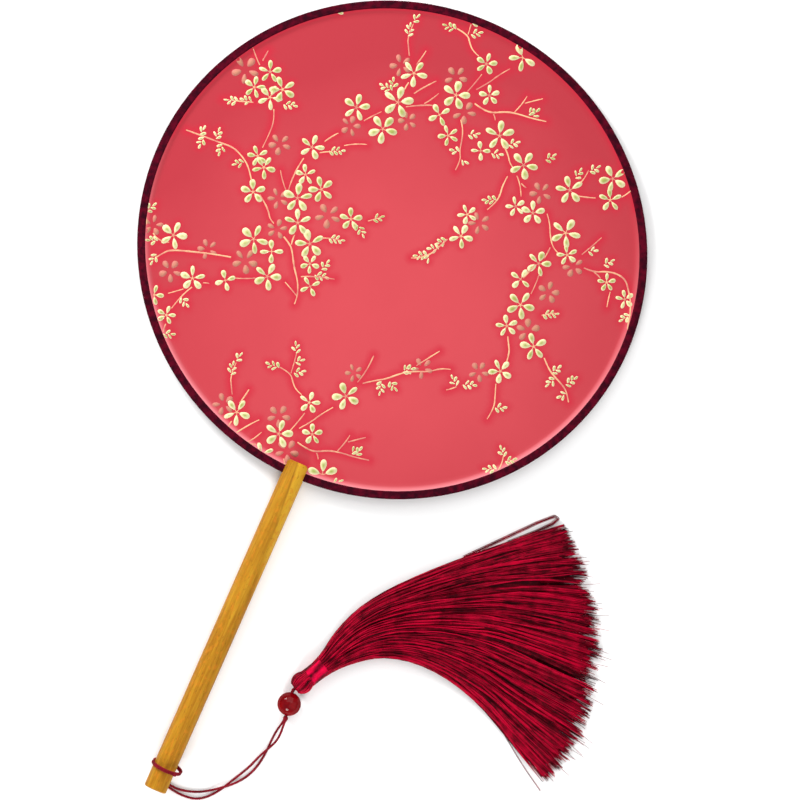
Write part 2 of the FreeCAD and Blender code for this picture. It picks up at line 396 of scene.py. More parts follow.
# Sprays of buds: base x, base y, heading in degrees, number of buds.
SPRAYS = (
    (-35, 98, 100, 5), (-35.5, 105.5, 75, 3), (-27, -75, 182, 5), (-22.5, -65.5, 115, 4),
    (-21.5, -69.5, 40, 3), (-20, -74.5, 35, 4), (-97.5, 36, 195, 5), (-91.5, 38.5, 190, 4),
    (-77.5, 43.5, 15, 5), (-31, 71, 175, 5), (-31.5, 72.5, 110, 3), (31, 69.5, 40, 4),
    (25, 62.5, 15, 4), (50.5, 70, 50, 4), (11, 66, 30, 4), (11, 57, 190, 3), (13, 54, -10, 2),
    (67.5, 67.5, 80, 4), (72.5, 73.5, 50, 4), (83, 83.5, 45, 1), (37, 42.5, 200, 5),
    (34.5, 86.5, 95, 2), (36.5, 87, 75, 3), (97, 34.5, 50, 4), (87.5, 37.5, 30, 3),
    (-108.5, 13.5, 80, 3), (-106, 13.5, 265, 4), (-100.5, 14.5, 95, 4), (-96.5, 14, 275, 4),
    (-83, 10, 215, 4), (-48, 31.5, 25, 6), (-15, 9.5, 40, 4), (-20.5, 4.5, -40, 5),
    (-31, -7.5, 15, 6), (-30, -26.5, 10, 5), (-28, -23, 70, 4), (-117.5, -31, 60, 4),
    (22.5, 15, 225, 4), (21, 9.5, 200, 4), (17, 4.5, 205, 5), (17.5, 5, 280, 2),
    (79.5, 0.5, 25, 6), (95, -24, 60, 4), (103.5, -26.5, 55, 5), (98, -25.5, 245, 4),
    (106, -30, 230, 3), (119, 17.5, 235, 4), (-106, -42, 200, 4), (-104, -48, 260, 4),
    (-85, -62.5, -30, 4), (-86, -82.5, 20, 4), (21, -60.5, 285, 5), (24.5, -59, -30, 4),
    (28.5, -53, 65, 3), (29.5, -51.5, 40, 3), (55.5, -48.5, 140, 4), (57.5, -46.5, 20, 5),
    (76.5, -50.5, 25, 4), (90.5, -71, 130, 4), (91.5, -72.5, 35, 4), (90, -77.5, 200, 5),
    (-71.5, 95, 20, 1),
)
TWIGS = (
    ((-25.5, 87.5), (-24.5, 92), (-24, 95.5)),
    ((-21, 74), (-17.5, 79.5), (-13.5, 84)),
    ((-14.5, 71.5), (-12, 74.5), (-10, 79)),
    ((-22, 66.5), (-14.5, 71), (-10, 72.5)),
    ((-25.5, 78), (-26, 76), (-26, 74)),
    ((-38, 52), (-35.5, 55.5), (-32, 59.5)),
    ((-42, 37), (-37, 40.5), (-32, 42)),
    ((-51.5, 35), (-49.5, 38.5), (-47, 41.5)),
    ((-95.5, 56.5), (-99, 59.5), (-102, 63)),
    ((-95, 59), (-94.7, 62), (-94.5, 64.5)),
    ((-80.5, 39.5), (-78.5, 35.5), (-77.5, 29.5), (-78, 20)),
    ((-30.5, 90), (-32.5, 93.5), (-35, 98), (-35, 105)),
    ((-22.5, -64.5), (-21.5, -69.5), (-21, -75)),
    ((-27, -74.5), (-21, -75), (-18.5, -78.5), (-15.5, -81.5), (-12, -82.5)),
    ((-91, 38.5), (-98, 36), (-105, 34)),
    ((2.5, 85.5), (4.5, 91.5), (5.5, 96)),
    ((6, 88), (10, 93), (13.5, 99.5), (17, 104)),
    ((8, 81.5), (12, 80.5), (17.5, 80.5), (23.5, 84), (30, 85.5), (36.5, 86), (43.5, 87.5)),
    ((27.5, 85.5), (29.5, 90.5), (30, 95)),
    ((30.5, 91.5), (33.5, 94), (37.5, 97)),
    ((18.5, 80.5), (19.8, 79.5), (20.5, 78)),
    ((5, 71.5), (7.5, 68.5), (9.5, 63), (10.5, 57.5), (13, 53.5), (12.5, 48)),
    ((29, 68.5), (32.5, 66), (35.5, 61.5), (37.5, 60.5)),
    ((41, 57.5), (44.5, 54.5), (47, 49)),
    ((44.5, 55), (46, 54.2), (47.5, 54)),
    ((37, 55.5), (36.5, 50.5), (37.5, 45), (36.5, 40.5), (34.5, 36.5)),
    ((62, 46.5), (65, 43), (67.5, 37.5), (71.5, 32), (75, 31)),
    ((70.5, 66), (72, 69.5), (72, 74)),
    ((72.5, 60.5), (76.5, 61.5), (80.5, 63)),
    ((92, 68.5), (93.8, 70.8), (95, 73.5)),
    ((85.5, 35), (87.5, 39), (89.5, 43), (91, 46.5)),
    ((89, 29.5), (94.5, 29.5), (99, 32), (104.5, 33.5), (110, 32.5), (113.5, 28), (117, 23), (119, 17)),
    ((118.5, 18.5), (119.3, 14.5), (120.5, 10.5)),
    ((94.5, 29.5), (96.8, 29.2), (98.5, 28)),
    ((105.5, 24), (106, 20.5), (107, 16.5)),
    ((-115.5, 13), (-108, 13.5), (-98, 14), (-91.5, 14.5), (-87, 13), (-82.5, 10.5), (-79, 7), (-75.5, 2)),
    ((-70, -1.5), (-65.5, -4.5), (-62.5, -7.5), (-60.5, -10.5), (-58, -11.5)),
    ((-57.5, 23.5), (-58.5, 18.5), (-58.5, 8.5), (-58, 6.5)),
    ((-65.5, 13.5), (-63, 9.5), (-59, 5.5)),
    ((-51, -15.5), (-47, -17.5), (-44.5, -20), (-40.5, -27), (-36, -32.5), (-33, -39.5), (-33, -43.5)),
    ((-46.5, -12.5), (-46.6, -15), (-46, -17.5)),
    ((-41.5, -35.5), (-37, -37.5), (-33.5, -39.5)),
    ((-70.5, -35), (-77, -36.5), (-87, -39.5), (-99, -43.5), (-102, -47), (-104, -50)),
    ((-35.5, -30), (-30, -27), (-20, -24.5)),
    ((-33.5, -8.5), (-29, -6.5), (-24, -6)),
    ((-118, -31.5), (-115.5, -34.5), (-114.5, -37)),
    ((-51.5, 29), (-48.5, 31), (-46, 32)),
    ((-16.5, 8), (-13.5, 10.5), (-11, 12.5)),
    ((70, 32), (70, 29.5), (69.5, 26)),
    ((70, 20), (71, 15), (70.5, 7.5)),
    ((66.5, 21.5), (65.5, 17), (64, 13)),
    ((68.5, -16), (70.5, -19.5), (72.5, -23), (73, -27.5)),
    ((89, -18.5), (92.5, -22), (96.5, -24.5), (102.5, -27), (106, -29.5), (108.5, -33.5)),
    ((22.5, 15.5), (19.5, 8.5), (17.5, 5), (13.5, 1.5), (10, 0)),
    ((79.5, 0), (83, 2.5), (86, 4)),
    ((-82, -56), (-85, -61), (-87, -69.5)),
    ((-85.5, -58.5), (-89, -61.5), (-91.5, -63.5)),
    ((-55.5, -39.5), (-60, -42), (-64.5, -43.5)),
    ((-75, -51), (-76.5, -51.2), (-78, -52)),
    ((-86.5, -77.5), (-86.5, -79.5), (-86, -81.5)),
    ((-110, -39.5), (-106, -42.5), (-101, -40.5)),
    ((12.5, -51), (12.5, -56), (11.5, -62.5), (10.5, -66)),
    ((13, -65.5), (17.5, -62), (22.5, -59), (28, -53.5), (33.5, -50), (40, -47.5), (45.5, -43), (49.5, -42)),
    ((41, -36), (36.5, -42.5), (33.5, -47)),
    ((72.5, -39.5), (74.5, -45), (76.5, -50.5), (75.5, -57)),
    ((90, -70.5), (91, -73), (90.5, -77.5)),
    ((55.5, -48.5), (53.8, -50.5), (51.5, -52)),
)
# The print repeats down the cloth by this much, and the rim cuts it off.
REPEATS = ((0, 0), (-12.5, -186), (12.5, 186))


# ---- settings ----
def length_setting(name, description, size):
    """A length setting, its size given in millimetres."""
    return FloatProperty(name=name, description=description, default=size * MM, unit="LENGTH")


class FanSizes(bpy.types.PropertyGroup):
    """Sizes that the pieces are built from."""

    silk_dip: length_setting("Silk dip", "How far the leaf lies below its edge under the tape", 0.85)
    dip_width: length_setting("Dip width", "Over what distance from the rim the leaf comes up", 2.7)
    silk_thickness: length_setting("Silk thickness", "Thickness of the leaf", 0.12)
    print_relief: length_setting("Print relief", "How far the print stands above the silk", 0.05)
    twig_radius: length_setting("Twig radius", "Half the width of a printed twig", 0.42)
    # This reach also sets how far the painted shadow above the handle's end spreads.
    halo_and_shade: length_setting("Halo", "How far the dye of the print bleeds into the silk", 4.0)
    strand_radius: length_setting("Strand radius", "Radius of the twisted cord", 0.55)
    lay_length: length_setting("Lay length", "Length of one turn of the cord's plies", 2.6)
    thread_radius: length_setting("Thread radius", "Radius of one thread of the skirt", 0.19)
    locks: IntProperty(
        name="Locks", description="How many locks one layer of the skirt hangs in", default=88)
    threads_per_lock: IntProperty(
        name="Threads per lock", description="How many threads each lock holds", default=12)


def colour(name, description, red, green, blue):
    """A colour setting."""
    return FloatVectorProperty(
        name=name, description=description, subtype="COLOR", min=0, max=1,
        default=srgb(red, green, blue))


class FanColours(bpy.types.PropertyGroup):
    """Colours that the materials are mixed from."""

    silk: colour("Silk", "The leaf's main colour", 200, 70, 78)
    # Painted shade: the colour that the leaf is painted towards, farther from its middle.
    silk_shaded: colour("Deep silk", "The leaf towards its edge", 170, 42, 54)
    # Painted highlight: the leaf where it turns up to the tape, painted pale on the side towards the light.
    silk_highlight: colour("Silk edge", "The leaf where it turns up to the tape", 232, 132, 140)
    # This colour also paints the shade at the leaf's edge away from the light and the shadow above the handle's end.
    halo_and_shade: colour("Halo", "The silk next to the print", 186, 18, 46)
    cream: colour("Cream", "Edges of the printed petals", 236, 226, 178)
    petal_heart: colour("Petal heart", "Middle of the printed petals", 150, 158, 76)
    shadow: colour("Shadow print", "The faint blossoms behind", 196, 116, 104)
    shadow_heart: colour("Shadow heart", "Middle of the faint petals", 184, 126, 98)
    twig: colour("Twig", "The printed twigs", 228, 180, 136)
    binding: colour("Binding", "The tape round the rim", 84, 0, 24)
    binding_deep: colour("Deep binding", "Worn and shaded tape", 44, 0, 15)
    wood: colour("Wood", "The handle's main colour", 208, 158, 38)
    wood_deep: colour("Deep wood", "The handle's darker streaks", 150, 94, 4)
    wood_warm: colour("Warm wood", "The handle's orange spots", 196, 118, 24)
    bamboo: colour("Bamboo", "The hoop inside the tape", 205, 168, 108)
    cord: colour("Cord", "The twisted cord", 92, 0, 14)
    bead: colour("Bead", "The bead", 128, 0, 8)
    thread: colour("Thread", "The skirt's threads in the light", 196, 0, 48)
    thread_deep: colour("Deep thread", "The skirt's darkest threads", 50, 0, 8)
    satin: colour("Satin", "The band below the head", 228, 0, 66)


def sizes():
    """The sizes as they are set now."""
    return bpy.context.scene.fan_sizes


def colours():
    """The colours as they are set now."""
    return bpy.context.scene.fan_colours


# ---- materials ----
MIX_COLOURS = {"data_type": "RGBA"}
MIX_FACTOR, MIX_A, MIX_B, MIX_RESULT = 0, 6, 7, 2


class Value:
    """A socket of a material, so that shader maths is written as Python expressions."""

    def __init__(self, paint, socket):
        self.paint = paint
        self.socket = socket

    def maths(self, operation, first, second=0.0):
        return self.paint.node("Math", {"operation": operation}, {0: first, 1: second})

    def __add__(self, other):
        return self.maths("ADD", self, other)

    def __sub__(self, other):
        return self.maths("SUBTRACT", self, other)

    def __rsub__(self, other):
        return self.maths("SUBTRACT", other, self)

    def __mul__(self, other):
        return self.maths("MULTIPLY", self, other)

    __radd__ = __add__
    __rmul__ = __mul__

    def size(self):
        """The value without its sign."""
        return self.maths("ABSOLUTE", self)

    def between(self, low, high):
        """0 below low, 1 above high, smooth between them."""
        return self.paint.node(
            "MapRange", {"interpolation_type": "SMOOTHSTEP"},
            {"Value": self, "From Min": low, "From Max": high})


class Paint:
    """One material in the making."""

    def __init__(self, name, **constants):
        self.material = bpy.data.materials.new(name)
        self.material.use_nodes = True
        self.tree = self.material.node_tree
        self.shader = self.tree.nodes["Principled BSDF"]
        for socket, value in constants.items():
            self.shader.inputs[socket.replace("_", " ")].default_value = value

    def node(self, kind, settings=None, inputs=None, out=0):
        """Adds a node with these settings and socket values or links."""
        made = self.tree.nodes.new("ShaderNode" + kind)
        for name, value in (settings or {}).items():
            setattr(made, name, value)
        for key, value in (inputs or {}).items():
            self.feed(made.inputs[key], value)
        return Value(self, made.outputs[out])

    def feed(self, socket, value):
        """Links a value to a socket, or sets the socket to a plain number or colour."""
        if isinstance(value, Value):
            self.tree.links.new(value.socket, socket)
        else:
            socket.default_value = value

    def put(self, name, value):
        """Feeds one socket of the shader."""
        self.feed(self.shader.inputs[name], value)

    def place(self, scale):
        """Object coordinates, scaled."""
        where = self.node("TexCoord", out="Object")
        return self.node("Mapping", inputs={"Vector": where, "Scale": scale})

    def axes(self):
        """The three object coordinates, each as a value."""
        where = self.node("TexCoord", out="Object")
        return [self.node("SeparateXYZ", inputs={0: where}, out=axis) for axis in "XYZ"]

    def noise(self, size, detail=2.0, roughness=0.5, scale=(1, 1, 1)):
        """Noise that many times a metre, or stretched by the scale along each axis."""
        return self.node(
            "TexNoise", inputs={
                "Vector": self.place(scale), "Scale": size, "Detail": detail,
                "Roughness": roughness})

    def attribute(self, name):
        """A number that each point of the mesh carries."""
        return self.node("Attribute", {"attribute_name": name}, out="Fac")

    def mix(self, factor, first, second):
        """A colour between two others."""
        ends = [opaque(c) if not isinstance(c, Value) else c for c in (first, second)]
        return self.node(
            "Mix", MIX_COLOURS, {MIX_FACTOR: factor, MIX_A: ends[0], MIX_B: ends[1]}, MIX_RESULT)

    def bump(self, height, distance):
        """Raises the surface by that distance where the height is 1."""
        self.put("Normal", self.node(
            "Bump", inputs={"Height": height, "Distance": distance, "Strength": 1.0}))


def silk_material():
    """Sheer coral satin: warp and weft threads, with painted shade away from a point below the middle, darker red
    round the print, a painted highlight and painted shade where the leaf turns up to the tape, and a painted shadow
    above the handle's end.
    """
    c = colours()
    paint = Paint(
        "coral_silk", Sheen_Weight=0.1, Sheen_Roughness=0.35, Specular_IOR_Level=0.25)
    across, along, _ = paint.axes()
    aside, away = across - 0.016, along - 0.046
    mottle = paint.noise(22.0, 3.0)
    # Painted shade: the leaf is painted darker the farther it lies from a point below its middle; the mottle is
    # random.
    shade = paint.mix((aside * aside + away * away) * 42 + mottle * 0.35 + 0.07, c.silk, c.silk_shaded)
    # The ink mark paints darker red round the print, painted shade at the edge away from the light, and a painted
    # shadow above the handle's end.
    darkened_silk = paint.mix(paint.attribute("ink"), shade, c.halo_and_shade)
    # Painted highlight: the pale mark lightens the leaf where it turns up to the tape, most on the side towards the
    # light.
    paint.put("Base Color", paint.mix(paint.attribute("pale"), darkened_silk, c.silk_highlight))
    warp = paint.noise(1.0, 1.0, scale=(2600, 130, 1))
    weft = paint.noise(1.0, 1.0, scale=(130, 2600, 1))
    paint.put("Roughness", 0.42 + mottle * 0.12)
    paint.bump(warp + weft, 0.02 * MM)
    return paint.material


def print_material(name, edge, heart):
    """Thick cream print ink: paler at the edge of each petal, greener in its middle."""
    paint = Paint(name, Specular_IOR_Level=0.3)
    grain = paint.noise(900.0, 3.0)
    patch = paint.noise(70.0, 2.0)
    amount = paint.attribute("heart") * 1.15 + patch * 0.9 - 0.38
    paint.put("Base Color", paint.mix(amount.between(0.0, 1.0), edge, heart))
    paint.put("Roughness", 0.5 + grain * 0.2)
    paint.bump(grain, 0.04 * MM)
    return paint.material


def twig_material():
    """Tan print ink, drying unevenly along each twig."""
    c = colours()
    paint = Paint("twig_ink", Specular_IOR_Level=0.3)
    uneven = paint.noise(260.0, 3.0)
    broad = paint.noise(45.0, 1.0)
    paint.put("Base Color", paint.mix(
        (uneven + broad - 0.5).between(0.25, 0.8), c.twig, c.shadow))
    paint.put("Roughness", 0.5 + uneven * 0.2)
    paint.bump(uneven, 0.05 * MM)
    return paint.material


def binding_material():
    """Burgundy velvet tape, its pile brushed this way and that."""
    c = colours()
    paint = Paint(
        "velvet_tape", Sheen_Weight=0.06, Sheen_Roughness=0.4, Specular_IOR_Level=0.06)
    paint.shader.inputs["Sheen Tint"].default_value = opaque(srgb(190, 60, 110))
    brushed = paint.noise(320.0, 4.0, 0.6)
    pile = paint.noise(2600.0, 2.0)
    paint.put("Base Color", paint.mix(
        brushed.between(0.35, 0.68), c.binding_deep, c.binding))
    paint.put("Roughness", 0.62 + pile * 0.3)
    paint.bump(pile + brushed * 0.8, 0.12 * MM)
    return paint.material


def wood_material():
    """Honey-yellow wood: long streaks, dark flecks, a seam that drifts to one side, and painted shade on one side of
    the seam with painted light on the other.
    """
    c = colours()
    paint = Paint("honey_wood", Coat_Weight=0.04, Specular_IOR_Level=0.14)
    across, along, _ = paint.axes()
    streaks = paint.noise(1.0, 5.0, 0.65, scale=(1100, 60, 1100))
    bands = paint.noise(1.0, 3.0, 0.6, scale=(420, 26, 420))
    flecks = paint.noise(1.0, 2.0, scale=(1700, 500, 1700)).between(0.6, 0.74)
    spots = paint.noise(1.0, 3.0, scale=(620, 300, 620)).between(0.5, 0.7)
    wander = paint.noise(1.0, 3.0, scale=(1, 60, 1)) * 3.4 * MM
    seam = across + (along * -1 - 0.031) * -0.085 + 0.4 * MM
    # Painted light and shade: the wood is painted lighter on the +X side of the seam and darker on the other, as light
    # falls on the handle's two facets.
    side = (seam + wander - 1.7 * MM).between(-1.3 * MM, 1.3 * MM)
    depth = (streaks * 0.6 + bands * 0.9 - side * 0.5 - 0.08).between(0.0, 1.0)
    base = paint.mix(depth, c.wood, c.wood_deep)
    base = paint.mix(spots * 0.6, base, c.wood_warm)
    near = 1 - seam.size().between(0.1 * MM, 0.75 * MM)
    fade = along.between(-0.085, -0.04)
    mark = near * fade * 0.5 + flecks * 0.45
    paint.put("Base Color", paint.mix(mark, base, srgb(124, 76, 8)))
    paint.put("Roughness", 0.45 + streaks * 0.25)
    paint.bump(streaks - flecks * 0.8, 0.12 * MM)
    return paint.material


def bamboo_material():
    """Pale split bamboo with fibres round the hoop."""
    paint = Paint("split_bamboo", Specular_IOR_Level=0.4)
    fibre = paint.noise(700.0, 3.0)
    paint.put("Base Color", paint.mix(fibre, colours().bamboo, srgb(160, 118, 62)))
    paint.put("Roughness", 0.5 + fibre * 0.2)
    return paint.material


def cord_material():
    """Dark red mercerised cotton, with fine fibres on each ply."""
    c = colours()
    paint = Paint("twisted_cord", Specular_IOR_Level=0.15)
    fibre = paint.noise(2400.0, 3.0)
    patch = paint.noise(180.0, 2.0)
    paint.put("Base Color", paint.mix(
        (fibre * 0.5 + patch * 0.6).between(0.3, 0.8), c.cord, srgb(150, 10, 36)))
    paint.put("Roughness", 0.5 + fibre * 0.25)
    paint.bump(fibre, 0.04 * MM)
    return paint.material


def bead_material():
    """Lacquered dark red bead with faint swirls under the gloss."""
    c = colours()
    paint = Paint(
        "lacquered_bead", Coat_Roughness=0.08, Coat_IOR=2.4, Specular_IOR_Level=0.0)
    swirl = paint.noise(190.0, 3.0, 0.55)
    paint.put("Base Color", paint.mix(swirl.between(0.3, 0.75), c.bead, srgb(88, 0, 8)))
    paint.put("Coat Weight", 0.065 + swirl * 0.04)
    paint.put("Roughness", 0.16 + swirl * 0.1)
    return paint.material


def thread_material(name, bright, deep, roughness):
    """Viscose thread: its tone goes thread by thread, with a slow change along it; the tone also carries painted shade
    and painted highlights.
    """
    paint = Paint(name, Specular_IOR_Level=0.06)
    along = paint.noise(210.0, 3.0)
    fine = paint.noise(1500.0, 2.0)
    tone = paint.attribute("tone") * 0.85 + along * 0.8 + fine * 0.3 - 0.48
    paint.put("Base Color", paint.mix(tone.between(0.05, 1.0), deep, bright))
    paint.put("Roughness", roughness + fine * 0.2)
    return paint.material


def floor_material():
    """A plain pale studio floor."""
    paint = Paint("pale_floor", Specular_IOR_Level=0.1)
    grain = paint.noise(6.0, 2.0)
    paint.put("Base Color", paint.mix(grain, srgb(252, 252, 252), srgb(250, 250, 250)))
    paint.put("Roughness", 0.85 + grain * 0.05)
    return paint.material


# ---- making pieces ----
def mesh_of(name, bm):
    """A mesh from a bmesh, which is then freed."""
    mesh = bpy.data.meshes.new(name)
    bm.to_mesh(mesh)
    bm.free()
    return mesh


def piece(name, mesh, body, slot, material, replaced=()):
    """A finished piece from a mesh or a bmesh: named, painted, and riding on its body."""
    if isinstance(mesh, bmesh.types.BMesh):
        mesh = mesh_of(name, mesh)
    for polygon in mesh.polygons:
        polygon.use_smooth = True
    made = bpy.data.objects.new(name, mesh)
    bpy.context.scene.collection.objects.link(made)
    made.data.materials.clear()
    made.data.materials.append(material)
    if body:
        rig.ride(made, body)
    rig.slot(made, slot)
    if replaced:
        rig.replaces(made, *replaced)
    return made


def curve_mesh(kind, routes, radii=None, rings=0, steps=4):
    """The mesh of a curve with one spline for each route; radii are one list for each route."""
    curve = bpy.data.curves.new("route", "CURVE")
    curve.dimensions = "3D"
    curve.resolution_u = steps
    if radii:
        curve.bevel_depth = 1.0
        curve.bevel_resolution = rings
        curve.use_fill_caps = True
    for number, route in enumerate(routes):
        spline = curve.splines.new(kind)
        spline.points.add(len(route) - 1)
        for at, point in enumerate(route):
            spline.points[at].co = (*point, 1.0)
            if radii:
                spline.points[at].radius = radii[number][at]
        if kind == "NURBS":
            spline.order_u = 3
            spline.use_endpoint_u = True
    holder = bpy.data.objects.new("route", curve)
    mesh = bpy.data.meshes.new_from_object(holder)
    bpy.data.objects.remove(holder)
    bpy.data.curves.remove(curve)
    return mesh


def smooth_line(route, steps=4):
    """The points of the smooth line that follows a route."""
    mesh = curve_mesh("NURBS", [[Vector(p) for p in route]], steps=steps)
    points = [v.co.copy() for v in mesh.vertices]
    bpy.data.meshes.remove(mesh)
    return points


def strings(routes, radii, tones=None, rings=0):
    """A mesh of round strings, all with the same number of points, and their tones: one for
    each string, or one for each of its points."""
    mesh = curve_mesh("POLY", routes, radii, rings)
    if tones:
        last = len(routes[0]) - 1
        each = len(mesh.vertices) // len(routes)
        around = each // (last + 1)
        values = [
            tone[min(vert // around, last)] if isinstance(tone, list) else tone
            for tone in tones for vert in range(each)]
        layer = mesh.attributes.new("tone", "FLOAT", "POINT")
        layer.data.foreach_set("value", values)
    return mesh


def string(route, radii):
    """The mesh of one round string."""
    return curve_mesh("POLY", [route], [radii], rings=1)


def with_sides(points):
    """Each point with two directions square to the line, carried along it without twist."""
    framed = []
    side = None
    for at, point in enumerate(points):
        ahead = points[min(at + 1, len(points) - 1)] - points[max(at - 1, 0)]
        ahead.normalize()
        if side is None:
            side = ahead.orthogonal()
        side = (side - ahead * side.dot(ahead)).normalized()
        framed.append((point, side.copy(), ahead.cross(side)))
    return framed


def even_points(points, gap):
    """The same line with its points about that far apart."""
    spaced = [points[0]]
    left = gap
    for here, there in zip(points, points[1:]):
        run = (there - here).length
        done = 0.0
        while run - done >= left:
            done += left
            spaced.append(here.lerp(there, done / run))
            left = gap
        left -= run - done
    spaced.append(points[-1])
    return spaced


PLIES = 3
POINTS_IN_A_LAY = 9
PLY_SHARE = 0.6
PLY_REACH_SHARE = 0.55


def twisted(points, radius, lay, phase=0.0):
    """Routes and radii of the plies of a twisted cord along a line."""
    gap = lay / POINTS_IN_A_LAY
    line = with_sides(even_points(points, gap))
    ply = radius * PLY_SHARE
    reach = radius * PLY_REACH_SHARE
    routes = []
    for number in range(PLIES):
        start = phase + TURN * number / PLIES
        route = []
        for at, (point, side, other) in enumerate(line):
            angle = start + TURN * at * gap / lay
            route.append(point + side * (reach * math.cos(angle)) + other * (reach * math.sin(angle)))
        routes.append(route)
    return routes, [[ply] * len(route) for route in routes]


def wound(centre, axis, radius, length, cord, turns, bulge=0.0):
    """One route wound round an axis, and its radii."""
    side = axis.orthogonal().normalized()
    other = axis.cross(side)
    steps = max(12, int(turns * 20))
    route = []
    for step in range(steps + 1):
        share = step / steps
        angle = TURN * turns * share
        reach = radius + bulge * math.sin(math.pi * share)
        route.append(
            centre + axis * ((share - 0.5) * length)
            + side * (reach * math.cos(angle)) + other * (reach * math.sin(angle)))
    return route, [cord] * len(route)


def joined(meshes):
    """One bmesh holding all of these meshes."""
    bm = bmesh.new()
    for mesh in meshes:
        bm.from_mesh(mesh)
        bpy.data.meshes.remove(mesh)
    return bm


def revolve(bm, profile, steps, weld):
    """Turns the edges of a profile once round the z axis and welds what meets."""
    bmesh.ops.spin(
        bm, geom=profile, cent=(0, 0, 0), axis=(0, 0, 1), angle=TURN, steps=steps,
        use_merge=True)
    bmesh.ops.remove_doubles(bm, verts=bm.verts, dist=weld)


# ---- the face ----
def rim_share(x, y):
    """0 at the face's centre and 1 where the tape's inner edge is."""
    return math.hypot(x / (HALF_WIDTH - RIM_WIDTH), y / (HALF_HEIGHT - RIM_WIDTH))


def silk_height(x, y):
    """The silk's upper side above the face's plane: a shallow tray that rises to the rim."""
    inside = (1 - rim_share(x, y)) * (HALF_HEIGHT - RIM_WIDTH)
    share = min(max(inside / sizes().dip_width, 0), 1)
    slack = 0.07 * MM * math.sin(x * 45 + 1) * math.sin(y * 38)
    return SILK_UNDER_TAPE - (sizes().silk_dip + slack) * share * share * (3 - 2 * share)


def on_silk(bm, lift):
    """Lays a flat bmesh on the silk, its own height added to the lift."""
    for vert in bm.verts:
        vert.co.z += silk_height(vert.co.x, vert.co.y) + lift
    bm.transform(FACE)


def on_face(x, y):
    """True if that printed place lies on the leaf, or just under the edge of the tape."""
    margin = 1.2 * MM
    return rim_share(x, y) < 1 + margin / HALF_HEIGHT


def shows(x, y, angle, reach):
    """True if a petal's middle, that far out from its hub, is clear of the tape."""
    return rim_share(x + reach * math.cos(angle), y + reach * math.sin(angle)) < 1


def each_repeat(rows):
    """Rows whose first two values are a place in millimetres, at every repeat on the face."""
    for row in rows:
        for right, up in REPEATS:
            x = (row[0] + right) * MM
            y = (row[1] + up) * MM
            if on_face(x, y):
                yield x, y, *row[2:]


def repeated_twigs():
    """Smooth lines of the printed twigs, as far as the rim leaves them."""
    for route in TWIGS:
        for right, up in REPEATS:
            line = smooth_line([((x + right) * MM, (y + up) * MM, 0) for x, y in route], steps=5)
            line = [p for p in line if on_face(p.x, p.y)]
            if len(line) > 2:
                yield line


def petals_of(rows, count):
    """Every petal of blossoms that have that many: hub x, hub y, radius, angle."""
    for x, y, radius, turn in each_repeat(rows):
        for number in range(count):
            angle = math.radians(turn + 360 * number / count)
            if shows(x, y, angle, 0.6 * radius * MM):
                yield x, y, radius * MM, angle


def petal_places():
    """Every petal of the full blossoms."""
    yield from petals_of(BLOSSOMS, 5)
    yield from petals_of(FOUR_PETALLED, 4)


def bud_places():
    """Every bud of the sprays: x, y, direction, length."""
    for x, y, heading, count in each_repeat(SPRAYS):
        angle = math.radians(heading)
        ahead = Vector((math.cos(angle), math.sin(angle), 0))
        for number in range(count):
            last = number == count - 1
            lean = 0.0 if last else math.radians(48) * (1 if number % 2 else -1)
            start = Vector((x, y, 0)) + ahead * ((0.4 + 1.15 * number) * MM)
            length = (3.0 - 0.12 * number) * MM
            if shows(start.x, start.y, angle + lean, 0.7 * length):
                yield start.x, start.y, angle + lean, length


def add_petal(bm, heart, rng, x, y, angle, near, far, width):
    """One teardrop petal from near to far along a direction, widest beyond its middle."""
    made = bmesh.ops.create_circle(
        bm, cap_ends=True, cap_tris=True, segments=14, radius=0.5)["verts"]
    swell = rng.uniform(0.66, 1.04)
    turn = Matrix.Translation((x, y, 0)) @ Matrix.Rotation(angle + rng.uniform(-0.1, 0.1), 4, "Z")
    for vert in made:
        middle = vert.co.length < 0.01
        share = vert.co.x + 0.5
        pinch = 0.5 + 0.75 * share - 0.25 * share * share
        place = Vector((near + (far - near) * share, vert.co.y * width * swell * pinch, 0))
        place.z = 0.012 * MM if middle else 0.0
        vert.co = turn @ place
        vert[heart] = rng.uniform(0.6, 1.0) if middle else 0.0


def ink_mesh(name, places, width_share, rng):
    """Petals or buds as one mesh lying on the silk."""
    bm = bmesh.new()
    heart = bm.verts.layers.float.new("heart")
    for x, y, angle, near, far in places:
        add_petal(bm, heart, rng, x, y, angle, near, far, (far - near) * width_share)
    on_silk(bm, sizes().print_relief)
    bmesh.ops.recalc_face_normals(bm, faces=bm.faces)
    for face in bm.faces:
        if face.normal.z < 0:
            face.normal_flip()
    return mesh_of(name, bm)


def through_silk(made):
    """Gives a printed piece its thickness, down through the leaf to show faintly behind."""
    wall = made.modifiers.new("through", "SOLIDIFY")
    wall.thickness = sizes().silk_thickness + 1.4 * sizes().print_relief
    wall.offset = -1
    return made


def darkening_tree():
    """A search tree of the printed places, for the darker red round them, and of places just above the handle's end,
    for a painted shadow there.
    """
    places = []
    for x, y, radius, angle in petal_places():
        for share in (0.45, 0.8):
            reach = radius * share
            places.append((x + reach * math.cos(angle), y + reach * math.sin(angle), 0))
    for x, y, angle, length in bud_places():
        places.append((x + length * 0.5 * math.cos(angle), y + length * 0.5 * math.sin(angle), 0))
    for line in repeated_twigs():
        places.extend((p.x, p.y, 0) for p in line)
    # Painted shadow: the silk is also painted darker just above the handle's end, where the handle shades it.
    shaded = HANDLE_TOP - FACE_CENTRE.y + 0.6 * MM
    places.extend((side * MM, shaded, 0) for side in (-2, 0, 2, 4))
    tree = KDTree(len(places))
    for number, place in enumerate(places):
        tree.insert(place, number)
    tree.balance()
    return tree


SILK_RINGS = 84
PLAIN_RINGS = 80
EDGE_RINGS = 12
SILK_SPOKES = 288


